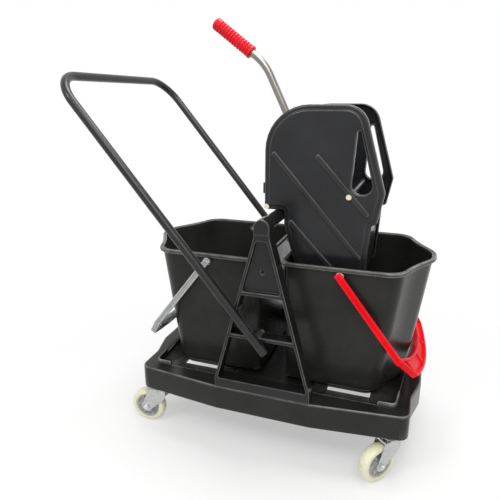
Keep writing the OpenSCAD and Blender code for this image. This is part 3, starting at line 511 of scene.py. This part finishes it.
def make_plate(side, name):
    """Side plate: a panel raised inside a rounded border, its turned-in flange, a lipped hand hole and ribs.
    The profile runs from the panel over the border and round the flange to the back of the web."""
    shell = Shell()
    edge = [(-17, PANEL_Y), (-15, PANEL_Y), (-13.6, 137.7), (-12.4, 136.6), (-11.2, 135.4), (-9.6, 135),
            (-5, 135), (-3, 134.6), (-1.3, 133.4), (-0.3, 131.4), (0, 129), (0, 119), (-0.6, 116.8),
            (-2, 116), (-3.4, 116.8), (-4, 119), (-4, 130), (-4.8, 132.4), (-6.6, 133.8),
            (-8.4, WEB_BACK_Y), (-10, WEB_BACK_Y)]
    lip = [(4, PANEL_Y), (2.6, PANEL_Y), (1.2, 137.6), (0.3, 136.7), (0, 135.4), (0, 121), (0.5, 119.6),
           (1.5, 119), (2.5, 119.6), (3, 121), (3, 132.4), (3.6, 133.6), (4.6, WEB_BACK_Y), (6, WEB_BACK_Y)]
    rim, hole = rings(PLATE_CORNERS, edge), rings(HOLE_CORNERS, lip)
    shell.stack(rim, OPEN)
    shell.stack(hole, OPEN)
    shell.sheet([rim[0], hole[0]])
    shell.sheet([rim[-1], hole[-1]])
    t = np.linspace(0, math.pi / 2, 6)
    dome = [(RIB_FOOT_R, PANEL_Y - 1.5)]
    dome += [(RIB_TOP_R + RIB_ROUND * math.cos(v), PANEL_Y + RIB_HEIGHT * math.sin(v)) for v in t]
    for a, b in PLATE_RIBS:
        shell.stack(np.stack([level(stadium(a, b, r), y) for r, y in dome]))
    boss = [(15, 134.5), (15, 119), (14, 118), (9, 118)]
    shell.stack(discs(SHAFT, boss, 40))
    shell.points = [upright(p) * (1, side, 1) for p in shell.points]
    make(name + "_shell", shell, WRINGER_BLACK, "wringer", (name,))


make_plate(-1, "wringer_front_plate")
make_plate(1, "wringer_rear_plate")


# Bent tubes

ASIDE = (0.31, 0.57, 0.76)


def along(path, bend_r, steps=12):
    """Points of a path whose inner corners are swapped for arcs of radius bend_r."""
    p = np.asarray(path, float)
    rows = [p[:1]]
    for a, b, c in zip(p[:-2], p[1:-1], p[2:]):
        u, v = unit(a - b), unit(c - b)
        half = math.acos(np.clip(u @ v, -1, 1)) / 2
        mid = b + unit(u + v) * bend_r / math.sin(half)
        start, stop = b + u * bend_r / math.tan(half) - mid, b + v * bend_r / math.tan(half) - mid
        angle = math.acos(np.clip(start @ stop / bend_r ** 2, -1, 1))
        t = np.linspace(0, 1, steps)[:, None]
        rows.append(mid + (np.sin((1 - t) * angle) * start + np.sin(t * angle) * stop) / math.sin(angle))
    return np.vstack(rows + [p[-1:]])


def sweep(path, radius, n=28):
    """Rings of the given radius across a path, each ring's first point carried on from the one before."""
    p = np.asarray(path, float)
    ahead = unit(np.gradient(p, axis=0))
    across = np.zeros_like(p)
    across[0] = unit(np.cross(ahead[0], ASIDE))
    for k in range(1, len(p)):
        across[k] = unit(across[k - 1] - ahead[k] * (across[k - 1] @ ahead[k]))
    other = np.cross(ahead, across)
    t = np.linspace(0, 2 * math.pi, n, endpoint=False)
    r = np.broadcast_to(np.asarray(radius, float), (len(p),))[:, None, None]
    ring = np.cos(t)[None, :, None] * across[:, None] + np.sin(t)[None, :, None] * other[:, None]
    return p[:, None] + r * ring


PUSH_Y, PUSH_FOOT, PUSH_TOP = 268.05, (12.0, 299.0), (-520.0, 938.0)
PUSH_R, PUSH_BEND_R = 11.0, 80.0


def make_push_handle():
    """The push tube: two legs and a top bar on one path, bent with one radius."""
    foot, top = PUSH_FOOT, PUSH_TOP
    path = [(foot[0], -PUSH_Y, foot[1]), (top[0], -PUSH_Y, top[1]), (top[0], PUSH_Y, top[1]),
            (foot[0], PUSH_Y, foot[1])]
    shell = Shell()
    shell.stack(sweep(along(path, PUSH_BEND_R, 18), PUSH_R, 36))
    make("push_handle_tube", shell, TUBE_BLACK, "trolley", ("push_handle",), smooth=40)


make_push_handle()

LEVER_LEAN, LEVER_KINK = math.radians(26), math.radians(27)
LEVER_FROM, LEVER_BEND_AT, LEVER_PAST = 21.5, 282.0, 160.0
LEVER_R, LEVER_BEND_R = 9.5, 130.0
GRIP_FROM, GRIP_LENGTH, GRIP_R = 46.0, 127.0, 15.8
COLLAR_LENGTH, COLLAR_R, COLLAR_ROUND = 7.0, 17.0, 1.2
RIBS_FROM, RIBS_TO, RIB_PITCH, RIB_RISE, RIB_POWER = 9.0, 110.0, 8.6, 2.2, 0.7
GROOVE, PLAIN_RISE = 1.7, 0.3
TIP_LENGTH, TIP_POWER, TIP_LEAST = 9.0, 2.4, 0.0009


def lever_point(run, past=0.0):
    """Point on the lever's axis: run mm up the lower run, then past mm along the upper run."""
    low = np.array([-math.sin(LEVER_LEAN), 0, math.cos(LEVER_LEAN)])
    high = np.array([-math.sin(LEVER_LEAN + LEVER_KINK), 0, math.cos(LEVER_LEAN + LEVER_KINK)])
    return np.array([SHAFT[0], 0, SHAFT[1]]) + run * low + past * high


def make_lever():
    """The lever: a round tube along two straight runs, joined by one wide arc."""
    path = [lever_point(LEVER_FROM), lever_point(LEVER_BEND_AT), lever_point(LEVER_BEND_AT, LEVER_PAST)]
    shell = Shell()
    shell.stack(sweep(along(path, LEVER_BEND_R, 18), LEVER_R, 32))
    make("lever_bent_tube", shell, LEVER_STEEL, "press", ("lever_tube",), smooth=40)


make_lever()


def make_grip():
    """Red grip: a swept ring whose radius is a round collar, then a row of rounded ribs, each half a sine
    wave, and then a plain end that closes in a dome."""
    s = np.linspace(0, GRIP_LENGTH, 181)
    wave = np.abs(np.sin((s - RIBS_FROM) * math.pi / RIB_PITCH)) ** RIB_POWER
    ribbed = (s > RIBS_FROM) & (s < RIBS_TO)
    radius = np.where(ribbed, GRIP_R - GROOVE + RIB_RISE * wave, GRIP_R + PLAIN_RISE)
    half = COLLAR_LENGTH / 2
    radius = np.where(s < COLLAR_LENGTH, COLLAR_R - COLLAR_ROUND * ((s - half) / half) ** 2, radius)
    tip = np.clip((s - (GRIP_LENGTH - TIP_LENGTH)) / TIP_LENGTH, 0, 1)
    radius = radius * np.sqrt(np.maximum(1 - tip ** TIP_POWER, TIP_LEAST))
    path = np.stack([lever_point(LEVER_BEND_AT, GRIP_FROM + v) for v in s])
    shell = Shell()
    shell.stack(sweep(path, radius, 40))
    make("lever_grip_ribbed", shell, GRIP_RED, "press", ("lever_grip",), smooth=60)


make_grip()


# Casters

WHEEL_R, TRAIL = 50.0, 40.0
CASTER = {"front_left": (-318, -197, 183), "front_right": (318, -197, 228),
          "rear_left": (-318, 197, 160), "rear_right": (318, 197, 200)}
TYRE_HALF, CROWN_FROM, CROWN_RISE, CROWN_POWER = 15.0, 41.0, 9.0, 0.8
SPOKE_COUNT, SPOKE_HALF, SPOKE_FROM, SPOKE_TO = 6, 1.6, 10.0, 31.6
SPOKE_DEPTHS = (4.5, 10.4)
HUB_HALF = [(4.06, 15.7), (8.6, 15.7), (10, 15.2), (10.6, 13), (11.6, 6.4), (13, 5), (28, 5), (30, 5.6),
            (31.6, 9), (32.4, 12.4), (33.6, 13), (36, 13)]


def placed(points, place):
    """Points drawn with the swivel axis at the origin and the wheel trailing along X, put where the caster
    is."""
    x, y, angle = CASTER[place]
    c, s = math.cos(math.radians(angle)), math.sin(math.radians(angle))
    p = np.asarray(points, float)
    return np.stack([x + c * p[..., 0] - s * p[..., 1], y + s * p[..., 0] + c * p[..., 1], p[..., 2]], -1)


def turned(profile, n=64):
    """Surface of revolution about the axle: profile points are (radius, along the axle)."""
    p = np.asarray(profile, float)
    t = np.linspace(0, 2 * math.pi, n, endpoint=False)
    beside = np.broadcast_to(p[:, 1:], (len(p), n))
    return np.stack([TRAIL + p[:, :1] * np.cos(t), beside, WHEEL_R + p[:, :1] * np.sin(t)], -1)


def hub_spoke(turn, side):
    """Bar on one face of the hub's web, turned about the axle: two rings of four corners."""
    run = np.array([SPOKE_FROM, SPOKE_TO, SPOKE_TO, SPOKE_FROM])
    wide = np.array([-SPOKE_HALF, -SPOKE_HALF, SPOKE_HALF, SPOKE_HALF])
    x = TRAIL + run * math.cos(turn) - wide * math.sin(turn)
    z = WHEEL_R + run * math.sin(turn) + wide * math.cos(turn)
    return np.stack([np.column_stack([x, np.full(4, side * depth), z]) for depth in SPOKE_DEPTHS])


def make_wheel(place):
    """Tyre with a round crown, and a hub whose web carries spokes on both faces."""
    a = np.linspace(-math.pi / 2, math.pi / 2, 15)[1:-1]
    r = CROWN_FROM + CROWN_RISE * np.cos(a) ** CROWN_POWER
    crown = np.stack([r, TYRE_HALF * np.sin(a)], -1).tolist()
    wall = [(36, 13.2), (37, 14.6), (39.4, TYRE_HALF)]
    tyre = [(r, -y) for r, y in wall] + crown + wall[::-1]
    shell = Shell()
    shell.stack(placed(turned(tyre), place), LOOPED)
    body = "wheel_" + place
    make("tyre_" + place, shell, TYRE_PALE, body, ("wheel_tyre_" + place,), smooth=50, datum=0)
    hub = [(r, -y) for r, y in HUB_HALF] + HUB_HALF[::-1]
    shell = Shell()
    shell.stack(placed(turned(hub), place), LOOPED)
    for k in range(SPOKE_COUNT):
        for side in (-1, 1):
            shell.stack(placed(hub_spoke(2 * math.pi * k / SPOKE_COUNT, side), place))
    make("hub_" + place, shell, HUB_GREY, body, ("wheel_hub_" + place,), smooth=30, datum=0)


for place in PLACES:
    make_wheel(place)


# Ladder frames

FRAME_CORNERS = [(-124, 175, 2), (124, 175, 2), (124, 200, 8), (19, 582, 30), (19, 625, 18.9),
                 (-19, 625, 18.9), (-19, 582, 30), (-124, 200, 8)]
FRAME_HEAD = [(-18.4, 588, 3), (18.4, 588, 3), (18.4, 624.4, 18.3), (-18.4, 624.4, 18.3)]
PANEL_HOLE = (0.0, 495.6)
BOLT_BOSSES = ((-10.5, 326.0), (-65.0, 392.0))
FRAME_GAPS, FRAME_PANEL, RUNG_Z = ((201, 322), (331, 437)), (447, 573), (326.5, 441)
FRAME_FRONT_Y, FRAME_BACK_Y = 257.0, 217.0
GAP_HALF_LOW, GAP_LOW_Z, GAP_SLOPE = 115.7, 200.0, 0.2749
BEAD_Y, BEAD_UP, BEAD_TALL, BEAD_DEEP, BEAD_POINTS = 255.6, 4.4, 1.3, 1.6, 12


def leg_x(z):
    """Half width of the gap between the legs at height z."""
    return GAP_HALF_LOW - GAP_SLOPE * (z - GAP_LOW_Z)


def frame_gap(low, high, r=4):
    """Corners of the opening between the legs from one height to another."""
    return [(-leg_x(low), low, r), (leg_x(low), low, r), (leg_x(high), high, r), (-leg_x(high), high, r)]


def rung_bead(z):
    """Thin rounded bead along a rung's upper front edge, from leg to leg."""
    t = np.linspace(0, 2 * math.pi, BEAD_POINTS, endpoint=False)
    up, y = z + BEAD_UP + BEAD_TALL * np.sin(t), BEAD_Y + BEAD_DEEP * np.cos(t)
    reach = leg_x(z) + 1
    return np.stack([np.column_stack([np.full(BEAD_POINTS, x), up, y]) for x in (-reach, reach)])


def make_frame(side, name):
    """Ladder frame: a slab with rounded edges, two openings, and a panel set back between the legs.
    Every opening is a stack of rings from the front face's round edge to the back face's."""
    front, back = FRAME_FRONT_Y, FRAME_BACK_Y
    rim = [(-4, front), (-2.4, front), (-1, 256.7), (-0.2, 255.8), (0, 254.4), (0, 219.6), (-0.2, 218.2),
           (-1, 217.3), (-2.4, back), (-4, back)]
    mouth = [(3, front), (2, front), (0.9, 256.7), (0.2, 255.8), (0, 254.6)]
    back_mouth = [(0, 219.4), (0.2, 218.2), (0.9, 217.3), (2, back), (3, back)]
    shelf = [(0, 247), (-0.4, 245.8), (-1.4, 245.1), (-3, 245), (-4.4, 245)]
    back_shelf = [(-4.4, 239), (-3, 239), (-1.4, 239.1), (-0.4, 239.8), (0, 241)]
    bore = [(7, 245), (5.8, 244.8), (5, 244), (5, 240), (5.8, 239.2), (7, 239)]
    boss = [(9, 256), (10.6, 255.6), (11, 254.6), (11, 219), (10.4, 218)]
    cheek = [(0, 255), (0, front), (0, 258), (-0.4, 258.7), (-1.2, 259), (-2.6, 259)]
    skin = rings(FRAME_CORNERS, rim)
    gaps = [rings(frame_gap(low, high), mouth + back_mouth, 5) for low, high in FRAME_GAPS]
    panel = frame_gap(*FRAME_PANEL, 6)
    front_panel = rings(panel, mouth + shelf, 7)
    back_panel = rings(panel, back_shelf + back_mouth, 7)
    hole = discs(PANEL_HOLE, bore)
    shell = Shell()
    for grid in [skin] + gaps + [front_panel, back_panel, hole]:
        shell.stack(grid, OPEN)
    shell.sheet([skin[0], gaps[0][0], gaps[1][0], front_panel[0]])
    shell.sheet([skin[-1], gaps[0][-1], gaps[1][-1], back_panel[-1]])
    shell.sheet([front_panel[-1], hole[0]])
    shell.sheet([back_panel[0], hole[-1]])
    for at in BOLT_BOSSES:
        shell.stack(discs(at, boss, 36))
    shell.stack(rings(FRAME_HEAD, cheek))
    for z in RUNG_Z:
        shell.stack(rung_bead(z))
    shell.points = [upright(p) * (1, side, 1) for p in shell.points]
    make(name + "_ladder", shell, FRAME_BLACK, "trolley", (name,))


make_frame(-1, "front_a_frame")
make_frame(1, "rear_a_frame")


# Chassis: one half of closed rings from the skirt over the deck into the pocket, and its mirror image

POCKET_AT = (205.0, 0.0)
HALF_PLAN = [(-60, -257, 1), (124, -257, 2), (358, -231, 26), (358, -141, 30), (378, -60, 30),
             (378, 60, 30), (358, 141, 30), (358, 231, 26), (124, 257, 2), (-60, 257, 1)]
POCKET = [(97, -200, 12), (320, -200, 12), (334, -28, 36), (334, 28, 36), (320, 200, 12), (97, 200, 12)]
DRAIN = [(149, -160, 1), (258, -160, 1), (258, 160, 1), (149, 160, 1)]
SPOKES = 900
DECK_Z, DECK_BELOW_Z, BED_Z, BED_BELOW_Z, HEM_Z = 175.0, 171.0, 164.7, 159.7, 110.0
LIP_HEIGHT, LIP_FROM_X, LIP_FROM_Y, LIP_RAMP = 12.0, 280.0, 139.0, 2.5
PAD_PLAN = [(-29, -26, 11), (29, -26, 11), (29, 26, 11), (-29, 26, 11)]


def dense(flat, n=4000):
    """Closed outline cut into n equal steps."""
    ring = np.vstack([flat, flat[:1]])
    run = np.concatenate([[0], np.cumsum(np.linalg.norm(np.diff(ring, axis=0), axis=1))])
    t = np.linspace(0, run[-1], n, endpoint=False)
    return np.stack([np.interp(t, run, ring[:, 0]), np.interp(t, run, ring[:, 1])], -1)


def spoked(corners, out, steps=9):
    """Outline moved out and read along spokes from the pocket's middle: the distance at evenly spread angles,
    interpolated between the outline's own points."""
    d = dense(outline(corners, out, steps)) - np.array(POCKET_AT)
    angle = np.arctan2(d[:, 1], d[:, 0])
    order = np.argsort(angle)
    t = np.linspace(-math.pi, math.pi, SPOKES, endpoint=False)
    r = np.interp(t, angle[order], np.linalg.norm(d, axis=1)[order], period=2 * math.pi)
    return np.array(POCKET_AT) + r[:, None] * np.stack([np.cos(t), np.sin(t)], -1)


def make_chassis():
    """Each half is rings at equal angles round its pocket, cut flat at the middle of the trolley, where the
    halves join and the faces between them are left out. A lip stands round the pocket's two outer corners;
    elsewhere the deck's edge is rounded into the pocket."""
    x, y = spoked(POCKET, 4).T
    lip = LIP_HEIGHT * (np.clip((x - LIP_FROM_X) / LIP_RAMP, 0, 1)
                        * np.clip((np.abs(y) - LIP_FROM_Y) / LIP_RAMP, 0, 1))
    below = [(POCKET, 4, BED_BELOW_Z), (POCKET, 4, DECK_BELOW_Z), (HALF_PLAN, -4, DECK_BELOW_Z)]
    skirt = [(-4, HEM_Z + 2), (-3, HEM_Z), (-1.4, HEM_Z), (-0.3, HEM_Z + 0.6), (0, HEM_Z + 2), (0, 140),
             (0, 168), (0, 169.6), (-0.5, 172.4), (-2, 174.4), (-4, DECK_Z), (-7, DECK_Z)]
    pocket = [(12, DECK_Z), (7, DECK_Z), (5.2, DECK_Z + 0.05 * lip), (4.5, DECK_Z + 0.15 * lip),
              (4, DECK_Z + 0.92 * lip), (3.4, DECK_Z + lip), (1.2, DECK_Z + lip), (0.3, 174.4 + lip),
              (0, 173.2 + lip), (0, 167), (-0.6, 165.4), (-2, BED_Z)]
    rows = below + [(HALF_PLAN, out, z) for out, z in skirt] + [(POCKET, out, z) for out, z in pocket]
    drain = spoked(DRAIN, 0, 5)
    flats = [(drain, BED_BELOW_Z)] + [(spoked(plan, out), z) for plan, out, z in rows] + [(drain, BED_Z)]
    grid = np.stack([np.column_stack([flat, np.broadcast_to(z, (SPOKES,))]) for flat, z in flats])
    grid[..., 0] = np.maximum(grid[..., 0], 0)
    shell = Shell()
    for side in (1, -1):
        shell.stack(grid * (side, 1, 1), LOOPED)
    x = np.vstack(shell.points)[:, 0]
    shell.faces = [face for face in shell.faces if np.abs(x[face]).max() > 0]
    make("chassis_body", shell, CHASSIS_BLACK, "trolley", ("chassis",), smooth=40)


make_chassis()


def make_caster_pads():
    """Boxes with round corners under the deck that carry the casters' top plates."""
    shell = Shell()
    rows = [(-3, 111.7), (-0.6, 112), (0, 113.2), (0, 172)]
    for x, y, _ in CASTER.values():
        shell.stack(rings(PAD_PLAN, rows, 6) + (x, y, 0))
    make("chassis_pads", shell, CHASSIS_BLACK, "trolley", ("chassis",))


make_caster_pads()


# Bails

HANG = math.radians(52)
ARM_IN, ARM_OUT, ARM_MID, ELBOW = 189.0, 197.0, 193.0, 242.0
GRIP_IN, GRIP_ARCH, GRIP_OUT, GRIP_CROWN = 297.0, 59.0, 310.0, 30.0
GRIP_CORNER, GRIP_CORNER_Y = 0.8, 155.0
BAND, BAND_HALF, WEB_IN, WEB_HALF, WEB_EDGE = 7.0, 8.0, 5.0, 2.2, 0.4
BAIL_RIBS, BAIL_RIB_SPAN, BAIL_RIB_IN = (-0.8, -0.27, 0.27, 0.8), 0.012, 4.0
BAIL_RIB_HALF, BAIL_RIB_EDGE = 6.6, 0.8
ARM_SECTION = [(-8, 190.4), (-7.6, 189.4), (-6.6, 189), (6.6, 189), (7.6, 189.4), (8, 190.4), (8, 195.8),
               (7.5, 196.8), (6.4, 197), (4.6, 197), (3.9, 196.5), (3.6, 195), (-3.6, 195), (-3.9, 196.5),
               (-4.6, 197), (-6.4, 197), (-7.5, 196.8), (-8, 195.8)]
ARM_RUNS = [(-9, 0.8), (-8.2, 0.95), (-7, 1), (240, 1), (249, 1)]


def hung(points):
    """Points (along the bail from its pivots, across, normal to its plane) at the angle at which the bail
    hangs."""
    p = np.asarray(points, float)
    x = BAIL_X + p[..., 0] * math.cos(HANG) + p[..., 2] * math.sin(HANG)
    z = BAIL_Z - p[..., 0] * math.sin(HANG) + p[..., 2] * math.cos(HANG)
    return np.stack([x, p[..., 1], z], -1)


def grip_edges(v):
    """Inner and outer edge of the bail's grip for v from -1 to 1: the inner edge is a parabola that clears
    the bucket's prow; the outer edge is a shallow parabola between two slanted corners."""
    inner = np.stack([GRIP_IN - GRIP_ARCH * v ** 2, ARM_IN * v], -1)
    w = np.clip(np.abs(v) / GRIP_CORNER, 0, 1)
    slant = np.clip((np.abs(v) - GRIP_CORNER) / (1 - GRIP_CORNER), 0, 1)
    s = GRIP_OUT + GRIP_CROWN * (1 - w ** 2) - (GRIP_OUT - ELBOW) * slant
    y = np.sign(v) * (GRIP_CORNER_Y * w + (ARM_OUT - GRIP_CORNER_Y) * slant)
    return inner, np.stack([s, y], -1)


def ribbon(first, second, half_t, edge=1.3):
    """Closed strip between two edge lines, with its section a rectangle of thickness 2 half_t whose corners
    are cut by `edge`: an array (station, section point, xyz). A spot of the section is (which edge line,
    which face, and how far it is cut back across and up)."""
    across = unit(second - first)
    width = np.linalg.norm(second - first, axis=1, keepdims=True)
    spots = [(0, -1, 0, 1), (0, -1, 0.3, 0.3), (0, -1, 1, 0), (1, -1, -1, 0), (1, -1, -0.3, 0.3),
             (1, -1, 0, 1), (1, 1, 0, -1), (1, 1, -0.3, -0.3), (1, 1, -1, 0), (0, 1, 1, 0),
             (0, 1, 0.3, -0.3), (0, 1, 0, -1)]
    rows = []
    for far, up, d_across, d_up in spots:
        flat = first + across * (far * width + d_across * edge)
        rows.append(np.column_stack([flat, np.full(len(flat), up * half_t + d_up * edge)]))
    return np.stack(rows, 1)


def bail_arm():
    """One arm: its channel section at stations along it, narrowed at the round end beyond the pivot."""
    t, y = np.array(ARM_SECTION).T
    return np.stack([np.column_stack([np.full(len(t), run), ARM_MID + (y - ARM_MID) * k, t * k])
                     for run, k in ARM_RUNS])


def make_bail(side, name, body, finish):
    """Bail: a grip of two bands with a thin ribbed web between them, and two arms with stub pins."""
    shell = Shell()
    c = GRIP_CORNER
    v = np.concatenate([np.linspace(-1, -c, 8), np.linspace(-0.78, 0.78, 41), np.linspace(c, 1, 8)])
    inner, outer = grip_edges(v)
    across = unit(outer - inner)
    band = np.minimum(BAND, 0.5 * np.linalg.norm(outer - inner, axis=1, keepdims=True))
    shell.stack(hung(ribbon(inner, inner + across * band, BAND_HALF)))
    shell.stack(hung(ribbon(outer - across * band, outer, BAND_HALF)))
    middle = np.abs(v) <= c
    web_in, web_out = (inner + across * WEB_IN)[middle], (outer - across * WEB_IN)[middle]
    shell.stack(hung(ribbon(web_in, web_out, WEB_HALF, WEB_EDGE)))
    for u in BAIL_RIBS:
        i, o = grip_edges(np.array([u - BAIL_RIB_SPAN, u + BAIL_RIB_SPAN]))
        inset = unit(o - i) * BAIL_RIB_IN
        shell.stack(hung(ribbon(i + inset, o - inset, BAIL_RIB_HALF, BAIL_RIB_EDGE)))
    pad = [(7.4, 194), (7.4, 197.2), (6.6, 197.9), (4, 198)]
    pin = [(4.45, 171.5), (4.45, 190)]
    for s in (-1, 1):
        shell.stack(hung(bail_arm() * (1, s, 1)))
        for rows in (pad, pin):
            shell.stack(hung(upright(discs((0, 0), rows, 24)) * (1, s, 1)))
    shell.points = [p * (side, 1, 1) for p in shell.points]
    make(name + "_handle", shell, finish, body, (name,))


make_bail(1, "right_bail", "right_carry_handle", BAIL_RED)
make_bail(-1, "left_bail", "left_carry_handle", BAIL_GREY)


# Mouldings that keep the solid's shape, with their edges rounded

ROUNDED = {"wringer_back_wall": 1.0, "wringer_strainer": 0.6, "press_plate": 0.8, "lever_clamp": 1.5}
for node, width in ROUNDED.items():
    softened(node, width)
for place in PLACES:
    softened("caster_fork_" + place, 0.7)
    softened("caster_plate_" + place, 0.6)


# Camera, as worked out from the photograph

CAMERA_AT = (0.3383, -1.2778, 0.8994)
CAMERA_RIGHT = (0.9416, 0.3367, 0.0)
CAMERA_AHEAD = (-0.3220, 0.9004, -0.2925)
LENS_PX = 493.8
IMAGE_PX = 500
SENSOR = 36.0


def make_camera():
    data = bpy.data.cameras.new("camera")
    data.sensor_width = SENSOR
    data.lens = SENSOR * LENS_PX / IMAGE_PX
    ahead = np.array(CAMERA_AHEAD) / np.linalg.norm(CAMERA_AHEAD)
    right = np.array(CAMERA_RIGHT) - ahead * np.dot(CAMERA_RIGHT, ahead)
    right /= np.linalg.norm(right)
    up = np.cross(right, ahead)
    camera = bpy.data.objects.new("camera", data)
    turn = np.eye(4)
    turn[:3, 0], turn[:3, 1], turn[:3, 2], turn[:3, 3] = right, up, -ahead, CAMERA_AT
    camera.matrix_world = Matrix(turn.tolist())
    bpy.context.scene.collection.objects.link(camera)
    bpy.context.scene.camera = camera


# Light and ground

STEEP = 0.95


def soft_lamp(name, at, aim, size, watts):
    """Square area lamp at a point, turned towards aim."""
    data = bpy.data.lights.new(name, "AREA")
    data.size = size
    data.energy = watts
    lamp = bpy.data.objects.new(name, data)
    z = np.array(at, float) - np.array(aim, float)
    z /= np.linalg.norm(z)
    x = np.cross((0.0, 1.0, 0.0), z) if abs(z[2]) > STEEP else np.cross((0.0, 0.0, 1.0), z)
    x /= np.linalg.norm(x)
    turn = np.eye(4)
    turn[:3, 0], turn[:3, 1], turn[:3, 2], turn[:3, 3] = x, np.cross(z, x), z, at
    lamp.matrix_world = Matrix(turn.tolist())
    bpy.context.scene.collection.objects.link(lamp)


def seen_rays(tree):
    """1 for rays that show the surroundings: from the camera, off a gloss or through glass."""
    path = tree.nodes.new("ShaderNodeLightPath").outputs
    total = path["Is Camera Ray"]
    for ray in ("Is Glossy Ray", "Is Transmission Ray"):
        add = tree.nodes.new("ShaderNodeMath")
        add.operation = "MAXIMUM"
        tree.links.new(total, add.inputs[0])
        tree.links.new(path[ray], add.inputs[1])
        total = add.outputs[0]
    return total


FLOOR_REACH, FLOOR_RINGS, FLOOR_SPOKES = 9.0, 24, 72
FADE_FROM, FADE_TO, GLOW_NEAR = 0.35, 1.1, 0.45
WORLD_TINT, WORLD_LIGHT = (1.0, 1.0, 0.97, 1), 0.42
WHITE = (1, 1, 1, 1)
MIDDLE = (0.0, 0.0, 0.5)


def make_floor():
    """Flat disc of rings and spokes; towards its rim it fades into the white surroundings."""
    rows, n = FLOOR_RINGS, FLOOR_SPOKES
    r = FLOOR_REACH * np.linspace(0, 1, rows + 1)[1:, None] ** 1.5
    a = np.linspace(0, 2 * math.pi, n, endpoint=False)[None]
    grid = np.stack([r * np.cos(a), r * np.sin(a), 0 * r * a], -1).reshape(-1, 3)
    k, j = np.meshgrid(np.arange(rows - 1), np.arange(n), indexing="ij")
    j2 = (j + 1) % n
    quads = np.stack([k * n + j, (k + 1) * n + j, (k + 1) * n + j2, k * n + j2], -1).reshape(-1, 4)
    mesh = bpy.data.meshes.new("floor")
    mesh.from_pydata(grid.tolist(), [], quads.tolist() + [list(range(n))])
    floor = bpy.data.objects.new("floor", mesh)
    bpy.context.scene.collection.objects.link(floor)
    f = Finish("floor_white", (0.86, 0.86, 0.86), 0.8)
    glow = f.node("Emission", Strength=1.0)
    glow.inputs["Color"].default_value = WHITE
    far = f.node("VectorMath", operation="LENGTH")
    f.join(f.where, far.inputs[0])
    fade = f.band(far.outputs["Value"], FADE_FROM, FADE_TO, GLOW_NEAR, 1.0)
    share = f.math("MULTIPLY", seen_rays(f.tree), fade)
    mix = f.node("MixShader")
    f.join(share, mix.inputs[0])
    f.join(f.shader.outputs[0], mix.inputs[1])
    f.join(glow.outputs[0], mix.inputs[2])
    f.join(mix.outputs[0], f.tree.nodes["Material Output"].inputs["Surface"])
    mesh.materials.append(f.mat)


def make_world():
    """Soft light from all round, which the camera, glossy and glassy surfaces see as plain white."""
    world = bpy.data.worlds.new("studio")
    bpy.context.scene.world = world
    world.use_nodes = True
    tree = world.node_tree
    light = tree.nodes["Background"]
    light.inputs["Color"].default_value = WORLD_TINT
    light.inputs["Strength"].default_value = WORLD_LIGHT
    white = tree.nodes.new("ShaderNodeBackground")
    white.inputs["Color"].default_value = WHITE
    white.inputs["Strength"].default_value = 1.0
    mix = tree.nodes.new("ShaderNodeMixShader")
    tree.links.new(seen_rays(tree), mix.inputs[0])
    tree.links.new(light.outputs[0], mix.inputs[1])
    tree.links.new(white.outputs[0], mix.inputs[2])
    tree.links.new(mix.outputs[0], tree.nodes["World Output"].inputs["Surface"])


make_camera()
make_floor()
make_world()
soft_lamp("key_lamp", (-1.2, -2.2, 2.6), MIDDLE, 0.7, 22)
soft_lamp("top_lamp", (0.2, 0.3, 2.8), MIDDLE, 1.4, 48)
soft_lamp("side_lamp", (0.75, -1.65, 2.5), MIDDLE, 1.4, 28)
bpy.context.scene.view_settings.view_transform = "Standard"
